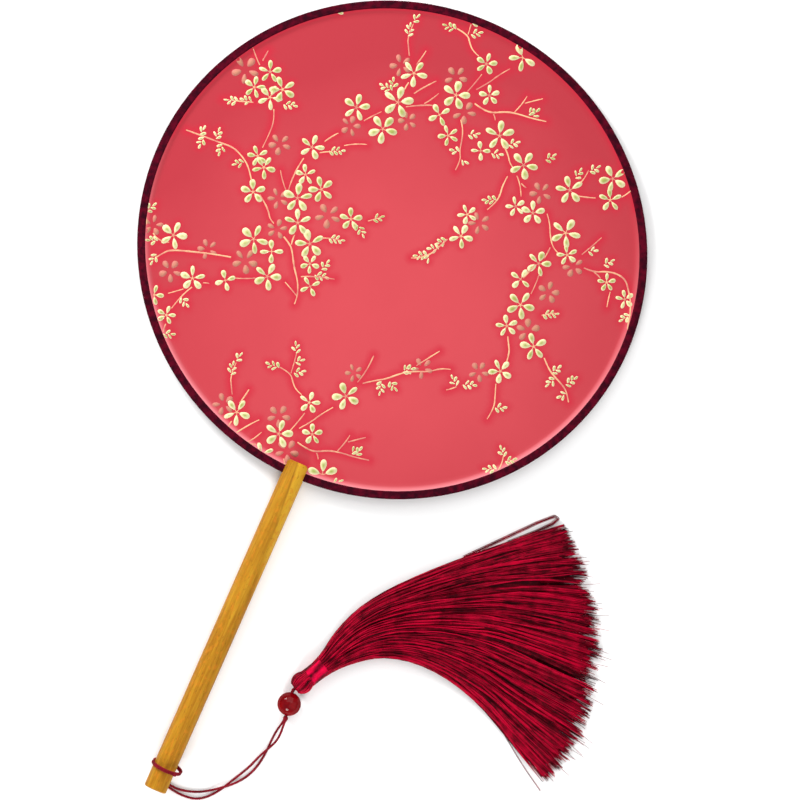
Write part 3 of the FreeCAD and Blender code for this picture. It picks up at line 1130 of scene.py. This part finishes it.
def silk_bmesh():
    """The leaf, spun from a radial line whose points crowd towards the rim."""
    bm = bmesh.new()
    edge = SILK_RINGS - PLAIN_RINGS
    shares = [step / SILK_RINGS for step in range(PLAIN_RINGS)]
    shares += [
        PLAIN_RINGS / SILK_RINGS + step * (edge / SILK_RINGS) / EDGE_RINGS
        for step in range(EDGE_RINGS + 1)]
    line = [bm.verts.new((share, 0, 0)) for share in shares]
    edges = [bm.edges.new(pair) for pair in zip(line, line[1:])]
    revolve(bm, line + edges, SILK_SPOKES, 1e-5)
    bmesh.ops.scale(
        bm, vec=(HALF_WIDTH - TAPE_INSET, HALF_HEIGHT - TAPE_INSET, 1), verts=bm.verts)
    return bm


INK_AT_PRINT = 0.9
# How far in from the tape the painted highlight and painted shade at the leaf's edge reach, and the side on which the
# edge is painted as lit.
HIGHLIGHT_REACH = 2.8 * MM
TOWARDS_LIT_EDGE = Vector((0.25, -0.97, 0))


class FAN_OT_silk(bpy.types.Operator):
    """Stretch the silk leaf over the hoop and darken it round the print, with painted shade, a painted highlight and a
    painted shadow
    """

    bl_idname = "fan.silk"
    bl_label = "Silk leaf"

    def execute(self, context):
        bm = silk_bmesh()
        ink = bm.verts.layers.float.new("ink")
        pale = bm.verts.layers.float.new("pale")
        tree = darkening_tree()
        halo_and_shade = sizes().halo_and_shade
        # The ink mark darkens the silk round the print, and just above the handle's end as a painted shadow.
        for vert in bm.verts:
            far = tree.find((vert.co.x, vert.co.y, 0))[2]
            vert[ink] = INK_AT_PRINT * max(0.0, 1 - far / halo_and_shade)
            # Painted highlight: the pale mark grows towards the tape, most on the side towards TOWARDS_LIT_EDGE, as
            # light on the leaf's upturned edge.
            near = 1 - (1 - rim_share(vert.co.x, vert.co.y)) * HALF_HEIGHT / HIGHLIGHT_REACH
            lit = vert.co.normalized().dot(TOWARDS_LIT_EDGE) if vert.co.length else 0
            vert[pale] = max(0.0, min(1.0, near)) ** 1.4 * max(0.0, min(1.0, 0.3 + 0.9 * lit))
            # Painted shade: on the side away from the light, the leaf's upturned edge is painted deep red instead.
            if lit < -0.3:
                vert[ink] = max(vert[ink], 0.8 * min(1.0, max(0.0, 1.6 * near - 0.6)))
        on_silk(bm, 0)
        bmesh.ops.recalc_face_normals(bm, faces=bm.faces)
        if sum(face.normal.z for face in bm.faces) < 0:
            bmesh.ops.reverse_faces(bm, faces=bm.faces)
        leaf = piece(
            "silk_leaf_cloth", bm, "fan", "silk", silk_material(), ["silk_leaf"])
        wall = leaf.modifiers.new("cloth", "SOLIDIFY")
        wall.thickness = sizes().silk_thickness
        wall.offset = -1
        wide = 2 * (HALF_WIDTH - TAPE_INSET)
        high = 2 * (HALF_HEIGHT - TAPE_INSET)
        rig.sheet(
            leaf, flat=(wide, high), held="stretched", rests_on=["hoop"],
            area=math.pi / 4 * wide * high)
        return {"FINISHED"}


class FAN_OT_print(bpy.types.Operator):
    """Print the blossoms, the faint blossoms behind them, the buds and the twigs"""

    bl_idname = "fan.print"
    bl_label = "Blossom print"

    def execute(self, context):
        c = colours()
        rng = random.Random(7)
        petals = [
            (x, y, angle, radius * 0.22, radius * 1.04) for x, y, radius, angle in petal_places()]
        buds = [(x, y, angle, 0.0, length) for x, y, angle, length in bud_places()]
        cream = print_material("cream_ink", c.cream, c.petal_heart)
        blossoms = ink_mesh("blossom_print", petals, 0.74, rng)
        through_silk(piece("blossom_print", blossoms, "fan", "silk", cream))
        sprays = ink_mesh("bud_print", buds, 0.62, rng)
        through_silk(piece("bud_print", sprays, "fan", "silk", cream))
        faint = [
            (x, y, angle, 0.3 * radius, 1.06 * radius)
            for x, y, radius, angle in petals_of(SHADOW_BLOSSOMS, 5)]
        shadow = print_material("shadow_ink", c.shadow, c.shadow_heart)
        behind = ink_mesh("shadow_blossom_print", faint, 0.88, rng)
        behind.transform(Matrix.Translation(FACE.to_3x3() @ Vector((0, 0, -0.03 * MM))))
        through_silk(piece("shadow_blossom_print", behind, "fan", "silk", shadow))
        self.print_twigs(rng)
        return {"FINISHED"}

    def print_twigs(self, rng):
        """Flattened twigs, and the fine lines from each blossom's hub to its petals."""
        meshes = []
        for line in repeated_twigs():
            thick = sizes().twig_radius * rng.uniform(0.75, 0.95) * (1 + 0.012 * len(line))
            count = len(line) - 1
            radii = [
                thick * (0.55 + 0.45 * math.sin(math.pi * (0.25 + 0.6 * at / count)))
                * rng.uniform(0.85, 1.15) for at in range(count + 1)]
            meshes.append(string(line, radii))
        spokes = []
        for x, y, radius, angle in petal_places():
            reach = Vector((math.cos(angle), math.sin(angle), 0)) * (radius * 0.34)
            spokes.append([Vector((x, y, 0)), Vector((x, y, 0)) + reach])
        meshes.append(strings(spokes, [[0.3 * MM, 0.22 * MM]] * len(spokes), rings=1))
        bm = joined(meshes)
        bmesh.ops.scale(bm, vec=(1, 1, 0.38), verts=bm.verts)
        on_silk(bm, -0.5 * sizes().silk_thickness)
        piece("twig_print", bm, "fan", "silk", twig_material())


class FAN_OT_frame(bpy.types.Operator):
    """Finish the rim's tape, the hoop and the handle"""

    bl_idname = "fan.frame"
    bl_label = "Rim and handle"

    def execute(self, context):
        finishes = {
            "rim_binding": binding_material(),
            "hoop": bamboo_material(),
            "handle": wood_material(),
        }
        for name, material in finishes.items():
            node = frame["nodes"][name]
            for holder in node.material_slots:
                holder.material = material
        return {"FINISHED"}


# ---- the cord ----
LOOP_CENTRE = Vector((0.9, -274.4, 0.4)) * MM
LOOP_LEAN = math.radians(15)
LOOP_RADIUS = 7.2 * MM
KNOT_CORD = 0.42 * MM


class FAN_OT_loop(bpy.types.Operator):
    """Tie the cord loop round the handle, with its slip knot underneath"""

    bl_idname = "fan.loop"
    bl_label = "Cord loop"

    def execute(self, context):
        cord = cord_material()
        steps = 48
        ring = []
        for step in range(steps + 1):
            angle = TURN * step / steps
            radius = LOOP_RADIUS * (1 + 0.03 * math.sin(2 * angle + 0.6) + 0.02 * math.sin(3 * angle))
            ring.append(Vector((radius * math.cos(angle), 0, radius * math.sin(angle))))
        lean = Matrix.Rotation(LOOP_LEAN, 4, "X")
        ring = [FACE @ (LOOP_CENTRE + (lean @ p)) for p in ring]
        meshes = []
        for offset, lift in ((-0.42, 0), (0.42, 0.16)):
            aside = FACE.to_3x3() @ Vector((lift, offset, lift)) * MM
            routes, radii = twisted(
                [p + aside for p in ring], 0.5 * MM, sizes().lay_length, phase=offset * 9)
            meshes.extend(string(ply, thick) for ply, thick in zip(routes, radii))
        crossing = FACE @ (LOOP_CENTRE + lean @ Vector((5.0, -0.3, 5.4)) * MM)
        tie = wound(
            crossing, Vector((0.8, 0.1, -0.6)).normalized(), 0.75 * MM, 1.5 * MM, KNOT_CORD, 3)
        meshes.append(string(*tie))
        piece("hanging_loop", joined(meshes), "loop", "cord", cord, ["cord_loop"])
        ball = knot_mesh(SLIP_KNOT, Vector((0.35, -0.93, 0)).normalized(), 0.85 * MM, 2.0 * MM, 3.5)
        piece("slip_knot_wraps", ball, "loop", "cord", cord, ["slip_knot"])
        return {"FINISHED"}


def knot_mesh(centre, axis, radius, length, turns):
    """A tied knot: cord wound round a filled middle, with one turn laid across it."""
    route, radii = wound(centre, axis, radius * 0.62, length, KNOT_CORD, turns, radius * 0.3)
    across = (axis.orthogonal() + axis * 0.5).normalized()
    over, over_radii = wound(centre, across, radius * 0.8, 0.5 * length, KNOT_CORD * 0.9, 1.25)
    bm = joined([string(route, radii), string(over, over_radii)])
    core = bmesh.ops.create_uvsphere(bm, u_segments=16, v_segments=10, radius=radius * 0.8)
    bmesh.ops.translate(bm, vec=centre, verts=core["verts"])
    return mesh_of("knot", bm)


class FAN_OT_strands(bpy.types.Operator):
    """Lay the two free strands from the slip knot to the knot under the bead"""

    bl_idname = "fan.strands"
    bl_label = "Strands"

    def execute(self, context):
        cord = cord_material()
        knot = knot_mesh(END_KNOT, (BEAD_CENTRE - END_KNOT).normalized(), 1.0 * MM, 2.1 * MM, 3)
        end_knot = piece("end_knot_wraps", knot, "cord", "cord", cord, ["end_knot"])
        settings = zip(
            ("strand_a", "strand_b"), (STRAND_A, STRAND_B), STRAND_LENGTHS, ([end_knot], []))
        for name, route, length, carried in settings:
            line = smooth_line([Vector(p) * MM for p in route], steps=6)
            radius = sizes().strand_radius
            routes, radii = twisted(line, radius, sizes().lay_length, phase=length * 900)
            mesh = strings(routes, radii, rings=1)
            made = piece(name + "_cord", mesh, "cord", "cord", cord, [name])
            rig.cord(
                made, exit=line[0], length=length, diameter=2 * radius, far_end="knot",
                stiffness="limp", lay="loose", path=line, with_pieces=carried)
        return {"FINISHED"}


class FAN_OT_bead(bpy.types.Operator):
    """Thread the bead on its cord, which bends on into the tassel's head"""

    bl_idname = "fan.bead"
    bl_label = "Bead"

    def execute(self, context):
        along = (BEAD_CENTRE - END_KNOT).normalized()
        profile_radius = (BEAD_HIGH.z - BEAD_LOW.z) / 2
        bm = bmesh.new()
        hole = 0.95 * MM
        bore_end = profile_radius * 0.93
        arc_steps = 36
        lip = math.asin(hole / profile_radius) + 0.05
        arc = [lip + (math.pi - 2 * lip) * step / arc_steps for step in range(arc_steps + 1)]
        line = [bm.verts.new((hole, 0, bore_end))]
        line += [
            bm.verts.new((profile_radius * math.sin(a), 0, profile_radius * math.cos(a)))
            for a in arc]
        line += [bm.verts.new((hole, 0, -bore_end))]
        edges = [bm.edges.new(pair) for pair in zip(line, line[1:] + line[:1])]
        revolve(bm, line + edges, 72, 1e-7)
        bmesh.ops.recalc_face_normals(bm, faces=bm.faces)
        bm.transform(standing_on(BEAD_CENTRE, along))
        piece("lacquer_bead", bm, "bead", "bead", bead_material(), ["bead"])
        self.link(along)
        return {"FINISHED"}

    def link(self, along):
        """The cord through the bead and on into the head, bending at the tassel's pivot."""
        pivot = Vector(next(j for j in frame["joints"] if j["name"] == "tassel_swing")["pos_m"])
        inside = HEAD_CENTRE - TASSEL_AXIS * (HEAD_RADIUS * 0.4)
        line = smooth_line([END_KNOT, BEAD_CENTRE, pivot - along * MM, pivot + along * MM, inside], 8)
        routes, radii = twisted(line, 0.8 * MM, 1.4 * sizes().lay_length)
        made = piece(
            "link_cord", strings(routes, radii, rings=1), None, "cord", cord_material(),
            ["bead_cord", "tassel_cord"])
        reach = 1.4 * MM
        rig.blend(made, "cord", "tassel", start=pivot - along * reach, end=pivot + along * reach)


# ---- the tassel ----
def rounded(distance, radius, angle):
    """A point round the tassel's axis, that far from the head's centre along it."""
    ring = TASSEL_SIDE * math.cos(angle) + UP * math.sin(angle)
    return HEAD_CENTRE + TASSEL_AXIS * distance + ring * radius


class FAN_OT_head(bpy.types.Operator):
    """Wind the tassel's head and the satin band below it"""

    bl_idname = "fan.head"
    bl_label = "Tassel head"

    def execute(self, context):
        c = colours()
        rng = random.Random(11)
        self.wind_head(c, rng)
        self.wind_band(c, rng)
        return {"FINISHED"}

    def wind_head(self, c, rng):
        """Threads that come up out of the flat mouth and over a ball to the neck."""
        count = 84
        arc_steps = 10
        reach = HEAD_RADIUS - 0.25 * MM
        lip = math.radians(36)
        arc = math.radians(86)
        mouth = reach * math.sin(lip) - 0.7 * MM
        mouth_floor = -2.4 * MM
        neck = 5.2 * MM
        routes, radii, tones = [], [], []
        for number in range(count * 2):
            angle = TURN * number / count + rng.uniform(-0.03, 0.03)
            swirl = rng.gauss(0.3, 0.05)
            lift = rng.uniform(-0.22, 0.04) * MM
            route = [
                rounded(mouth_floor, mouth, angle), rounded(-reach * math.cos(lip), mouth, angle)]
            for step in range(arc_steps + 1):
                share = step / arc_steps
                polar = lip + arc * share
                route.append(rounded(
                    -(reach + lift) * math.cos(polar), (reach + lift) * math.sin(polar),
                    angle + swirl * share))
            route.append(rounded(neck, BAND_RADIUS - 0.35 * MM, angle + swirl * 1.1))
            routes.append(route)
            radii.append([rng.uniform(0.24, 0.3) * MM] * len(route))
            tones.append(rng.choice((rng.uniform(0, 0.5), rng.uniform(0.5, 1.1))))
        bm = joined([strings(routes, radii, tones)])
        tone = bm.verts.layers.float.get("tone")
        core = bmesh.ops.create_uvsphere(bm, u_segments=40, v_segments=24, radius=4.9 * MM)["verts"]
        # Painted shade: the filled core takes the deepest tone, to show as shade between the threads and in the mouth.
        for vert in core:
            vert.co.z = max(vert.co.z, -2.5 * MM)
            vert[tone] = 0.0
        bmesh.ops.transform(bm, verts=core, matrix=standing_on(HEAD_CENTRE, TASSEL_AXIS))
        material = thread_material("head_thread", c.thread, c.thread_deep, 0.38)
        piece("tassel_head_wraps", bm, "tassel", "thread", material, ["tassel_head"])

    def wind_band(self, c, rng):
        """Satin thread wound close round the neck, with two painted highlights along it and painted shade elsewhere.
        """
        turns = 23
        cord = BAND_LENGTH / turns / 2 * 1.12
        route, radii = wound(
            BAND_MIDDLE, TASSEL_AXIS, BAND_RADIUS - cord, BAND_LENGTH - 2 * cord, cord, turns)
        radii = [r * rng.uniform(0.93, 1.07) for r in radii]
        bm = joined([strings([route], [radii], [0.8], rings=1)])
        tone = bm.verts.layers.float.get("tone")
        core = bmesh.ops.create_cone(
            bm, cap_ends=True, segments=40, radius1=4.35 * MM, radius2=4.35 * MM,
            depth=BAND_LENGTH)["verts"]
        for vert in core:
            vert[tone] = 0.3
        bmesh.ops.transform(bm, verts=core, matrix=standing_on(BAND_MIDDLE, TASSEL_AXIS))
        # Painted highlights: two bright strips of tone run along the band, one each side of a dark line, in place of
        # the lamps' reflections on the satin; everywhere else, core included, the band is painted dark as shade.
        for vert in bm.verts:
            across = (vert.co - BAND_MIDDLE).dot(TASSEL_SIDE) / BAND_RADIUS
            far = (vert.co - BAND_MIDDLE).dot(TASSEL_AXIS) / BAND_LENGTH
            fold = across + 0.1 + 0.3 * far
            highlight_width = 0.26 if fold < 0 else 0.34
            band_highlight = math.exp(-((abs(fold) - 0.5) / highlight_width) ** 2)
            vert[tone] = 1.05 * band_highlight
        material = thread_material("satin_thread", c.satin, c.thread_deep, 0.3)
        piece("neck_band_wraps", bm, "tassel", "satin", material, ["neck_band"])


class Skirt:
    """The space the skirt fills, from the neck to the ragged end."""

    def __init__(self):
        inner, outer, thick = [], [], []
        root = BAND_RADIUS - 0.45 * MM
        # The threads start inside the band and leave it at its far end.
        for distance in (-0.45, 0.5):
            middle = BAND_MIDDLE + TASSEL_AXIS * (distance * BAND_LENGTH)
            inner.append(middle + TASSEL_SIDE * root)
            outer.append(middle - TASSEL_SIDE * root)
            thick.append(2 * root)
        for x, y, degrees, width, depth in SKIRT:
            angle = math.radians(degrees)
            middle = Vector((x, y, depth / 2 + 0.05)) * MM
            side = Vector((math.sin(angle), -math.cos(angle), 0)) * (width / 2 * MM)
            inner.append(middle + side)
            outer.append(middle - side)
            thick.append(depth * MM)
        self.rails = [
            self.rail(inner, outer, thick, number) for number in range(len(RAGGED_END))]

    def rail(self, inner, outer, thick, number):
        """Smooth lines from neck to end, one along the middle and one along the top."""
        share = number / (len(RAGGED_END) - 1)
        middle = [i.lerp(o, share) for i, o in zip(inner, outer)]
        top = [m + UP * (t / 2) for m, t in zip(middle, thick)]
        x, y, depth = RAGGED_END[number]
        middle.append(Vector((x, y, depth / 2)) * MM)
        top.append(Vector((x, y, depth)) * MM)
        return list(zip(smooth_line(middle, 8), smooth_line(top, 8)))

    def at(self, share, across, height):
        """A point of the skirt: share along it, across and height from -1 to 1."""
        side = (0.5 + 0.5 * across) * (len(self.rails) - 1)
        low = min(int(side), len(self.rails) - 2)
        along = share * (len(self.rails[0]) - 1)
        near = min(int(along), len(self.rails[0]) - 2)
        middle, top = (
            self.rails[low][near][line].lerp(self.rails[low][near + 1][line], along - near)
            .lerp(
                self.rails[low + 1][near][line].lerp(
                    self.rails[low + 1][near + 1][line], along - near),
                side - low)
            for line in (0, 1))
        point = middle + (top - middle) * height
        point.z = max(point.z, 0.25 * MM)
        return point


THREAD_POINTS = 21
HAIR_POINTS = 8
FUZZ_SHARE = 0.26
FUZZ_WAVES = 34
# How much darker a thread is painted, as shade, where it dips.
DIP_SHADE_DEPTH = 0.45
EDGE_ROUNDING = 0.95


def lock_threads(skirt, rng, count, across, height, ends, tone, spread):
    """The threads of one lock, which keep close together and wander as one."""
    step = 2 / sizes().locks
    loose = 1.0 if spread < 0.5 else 0.3
    sway = rng.gauss(0, 2.0) * step * loose
    phase = rng.uniform(0, TURN)
    wave = rng.uniform(0.3, 1.2) * step * loose
    turns = rng.uniform(8, 24)
    dip = rng.uniform(0, TURN)
    dips_per_lock = rng.uniform(16, 34)
    for _ in range(count):
        off = rng.gauss(0, spread) * step
        up = rng.uniform(-0.22, 0.12)
        end = ends + rng.uniform(-0.009, 0.003)
        own = rng.uniform(0, TURN)
        route = []
        for at in range(THREAD_POINTS):
            share = end * at / (THREAD_POINTS - 1)
            drift = sway * (share - 0.5) + wave * math.sin(phase + turns * share)
            fuzz = FUZZ_SHARE * step * math.sin(own + FUZZ_WAVES * share)
            a = max(-1.0, min(1.0, across + drift + off + fuzz))
            lift = height + up + 0.16 * math.sin(phase * 3 + turns * 0.8 * share)
            lift = min(lift, 1 + 0.5 * max(0, share - 0.25))
            lift *= math.sqrt(max(0.0, 1 - EDGE_ROUNDING * a * a))
            route.append(skirt.at(share, a, lift))
        # Painted shade: threads that lie lower in the lock are given darker tones, and each thread is painted darker
        # at places along it, as shade where it would dip under others.
        level = tone + rng.gauss(0, 0.2) + 0.5 * up
        dips = [math.sin(dip + dips_per_lock * at / THREAD_POINTS) for at in range(THREAD_POINTS)]
        yield route, [min(1.0, max(0.0, level - DIP_SHADE_DEPTH * max(0.0, d) ** 2)) for d in dips]


class FAN_OT_skirt(bpy.types.Operator):
    """Spread the tassel's skirt: a middle painted dark as shade, layers of threads in locks, and stray hairs"""

    bl_idname = "fan.skirt"
    bl_label = "Tassel skirt"

    def execute(self, context):
        c = colours()
        skirt = Skirt()
        material = thread_material("skirt_thread", c.thread, c.thread_deep, 0.36)
        self.fill_middle(skirt, material)
        # Each layer's name, height, seed, fullness, tone and spread.
        # Painted shade: the lower a layer lies, the darker its tone.
        layers = (
            ("skirt_threads_top", 0.92, 21, 1.0, 0.64, 0.2),
            ("skirt_threads_between", 0.5, 22, 1.0, 0.5, 0.25),
            ("skirt_threads_under", -0.6, 23, 1.3, 0.42, 0.9),
        )
        for name, height, seed, fullness, tone, spread in layers:
            self.spread_layer(
                skirt, material, name, height, random.Random(seed), fullness, tone, spread)
        self.stray_hairs(skirt, material, random.Random(31))
        return {"FINISHED"}

    def fill_middle(self, skirt, material):
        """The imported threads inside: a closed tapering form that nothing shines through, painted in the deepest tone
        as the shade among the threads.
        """
        bm = bmesh.new()
        tone = bm.verts.layers.float.new("tone")
        rings = 26
        around = 40
        start = 0.02
        reach = 0.9
        taper_from = 0.7
        previous = None
        for number in range(rings + 1):
            share = start + reach * number / rings
            taper = 1 - max(0, number / rings - taper_from) * 1.2
            ring = bmesh.ops.create_circle(bm, segments=around, radius=1.0)["verts"]
            for vert in ring:
                vert.co = skirt.at(share, 0.93 * vert.co.x, 0.5 * taper * vert.co.y)
                # Painted shade: the middle takes the deepest tone.
                vert[tone] = 0.05
            edges = [e for e in bm.edges if e.verts[0] in ring and e.verts[1] in ring]
            if previous:
                bmesh.ops.bridge_loops(bm, edges=previous + edges)
            else:
                bmesh.ops.contextual_create(bm, geom=edges)
            previous = edges
        bmesh.ops.contextual_create(bm, geom=previous)
        bmesh.ops.recalc_face_normals(bm, faces=bm.faces)
        piece("skirt_middle", bm, "tassel", "thread", material, ["tassel_skirt"])

    def spread_layer(self, skirt, material, name, height, rng, fullness, tone, spread):
        """One layer of locks, side by side across the skirt."""
        routes, radii, tones = [], [], []
        locks = sizes().locks
        count = int(sizes().threads_per_lock * fullness)
        edge = 0.985
        for number in range(locks):
            across = -edge + 2 * edge * (number + rng.uniform(0.1, 0.9)) / locks
            ends = rng.uniform(0.978, 1.0) - 0.03 * max(0, rng.uniform(-6, 1))
            level = height * rng.uniform(0.75, 1.0)
            # Painted light: threads near the skirt's inner edge are given brighter tones, as where light grazes it;
            # the rest of the spread is random.
            shade = tone + rng.uniform(-0.24, 0.24) + 0.8 * max(0, -across - 0.7)
            lock = lock_threads(skirt, rng, count, across, level, ends, shade, spread)
            for route, own in lock:
                routes.append(route)
                thin = sizes().thread_radius * rng.uniform(0.8, 1.2)
                radii.append([thin] * (THREAD_POINTS - 1) + [thin * 0.6])
                tones.append(own)
        piece(name, strings(routes, radii, tones), "tassel", "thread", material)

    def stray_hairs(self, skirt, material, rng):
        """Single hairs past the ragged end, and a few that stand off the skirt's two edges."""
        routes = []
        last = HAIR_POINTS - 1
        for _ in range(60):
            across = rng.uniform(-0.95, 0.95)
            height = rng.uniform(-0.8, 0.9)
            bend = rng.uniform(-0.06, 0.06)
            far = rng.uniform(0.985, 1.014)
            routes.append([
                skirt.at(0.9 + (far - 0.9) * at / last, across + bend * (at / last) ** 2, height)
                for at in range(HAIR_POINTS)])
        for route, count, spread in ((STRAY_LOOP, 12, 0.75), (LOWER_HAIR, 3, 0.3)):
            for _ in range(count):
                off = Vector([rng.uniform(-spread, spread) for _ in range(2)] + [0])
                line = smooth_line([(Vector(p) + off) * MM for p in route], 4)
                routes.append([
                    line[round(at * (len(line) - 1) / last)] for at in range(HAIR_POINTS)])
        thin = 0.5 * sizes().thread_radius
        radii = [[thin] * HAIR_POINTS for _ in routes]
        tones = [rng.uniform(0.1, 0.5) for _ in routes]
        piece("stray_hairs", strings(routes, radii, tones), "tassel", "thread", material)


# ---- the stage ----
class FAN_OT_stage(bpy.types.Operator):
    """Set the floor, the soft lights and the camera that looks straight down"""

    bl_idname = "fan.stage"
    bl_label = "Stage"

    def execute(self, context):
        scene = context.scene
        scene.view_settings.view_transform = "Standard"
        bm = bmesh.new()
        bmesh.ops.create_grid(bm, x_segments=2, y_segments=2, size=3.0)
        floor = bpy.data.objects.new("floor", mesh_of("floor", bm))
        floor.data.materials.append(floor_material())
        scene.collection.objects.link(floor)
        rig.stage(floor)

        camera = bpy.data.cameras.new("camera")
        camera.sensor_width = SENSOR
        camera.lens = SENSOR * VIEW_DISTANCE / VIEW_WIDTH
        eye = bpy.data.objects.new("camera", camera)
        eye.location = (*VIEW_CENTRE, VIEW_PLANE + VIEW_DISTANCE)
        eye.rotation_euler = (0, 0, VIEW_ROLL)
        scene.collection.objects.link(eye)
        scene.camera = eye

        world = bpy.data.worlds.new("studio")
        world.use_nodes = True
        background = world.node_tree.nodes["Background"]
        background.inputs["Color"].default_value = (1, 1, 1, 1)
        background.inputs["Strength"].default_value = 0.42
        scene.world = world

        up = Vector((-math.sin(VIEW_ROLL), math.cos(VIEW_ROLL), 0))
        right = Vector((math.cos(VIEW_ROLL), math.sin(VIEW_ROLL), 0))
        middle = Vector((*VIEW_CENTRE, 0))
        self.light("key", middle + up * 0.95 + right * 0.2 + UP * 1.0, middle, 1.6, 12.0)
        self.light("fill", middle + right * 0.9 - up * 0.4 + UP * 1.2, middle, 2.2, 8.0)
        self.light("glint", middle - right * 0.55 + up * 0.7 + UP * 0.42, middle, 0.3, 8.0)
        self.light("low_glint", middle - right * 0.3 - up * 0.8 + UP * 0.42, middle, 0.3, 5.0)
        return {"FINISHED"}

    def light(self, name, place, target, size, power):
        """A square soft light that looks at the target."""
        lamp = bpy.data.lights.new(name, "AREA")
        lamp.size = size
        lamp.energy = power
        holder = bpy.data.objects.new(name, lamp)
        holder.location = place
        holder.rotation_euler = (target - place).to_track_quat("-Z", "Y").to_euler()
        bpy.context.scene.collection.objects.link(holder)


STEPS = (
    FAN_OT_stage,
    FAN_OT_loop,
    FAN_OT_strands,
    FAN_OT_bead,
    FAN_OT_frame,
    FAN_OT_silk,
    FAN_OT_print,
    FAN_OT_head,
    FAN_OT_skirt,
)


class FAN_PT_panel(bpy.types.Panel):
    """Every step of the fan, in the order they are made."""

    bl_idname = "FAN_PT_panel"
    bl_label = "Round Silk Fan"
    bl_space_type = "VIEW_3D"
    bl_region_type = "UI"
    bl_category = "Fan"

    def draw(self, context):
        for step in STEPS:
            self.layout.operator(step.bl_idname)
        for group in (context.scene.fan_sizes, context.scene.fan_colours):
            box = self.layout.box()
            for name in group.__annotations__:
                box.prop(group, name)


CLASSES = (FanSizes, FanColours, *STEPS, FAN_PT_panel)


def register():
    for kind in CLASSES:
        bpy.utils.register_class(kind)
    bpy.types.Scene.fan_sizes = PointerProperty(type=FanSizes)
    bpy.types.Scene.fan_colours = PointerProperty(type=FanColours)


def unregister():
    del bpy.types.Scene.fan_colours
    del bpy.types.Scene.fan_sizes
    for kind in reversed(CLASSES):
        bpy.utils.unregister_class(kind)


def main():
    register()
    bpy.ops.fan.stage()
    bpy.ops.fan.loop()
    bpy.ops.fan.strands()
    bpy.ops.fan.bead()
    bpy.ops.fan.frame()
    bpy.ops.fan.silk()
    bpy.ops.fan.print()
    bpy.ops.fan.head()
    bpy.ops.fan.skirt()
    with open("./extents.json", "w") as out:
        boxes = {
            "cad": [list(corner) for corner in CAD_BOX],
            "visual": [list(corner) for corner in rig.bounds()],
        }
        json.dump(boxes, out)


if __name__ == "__main__":
    main()
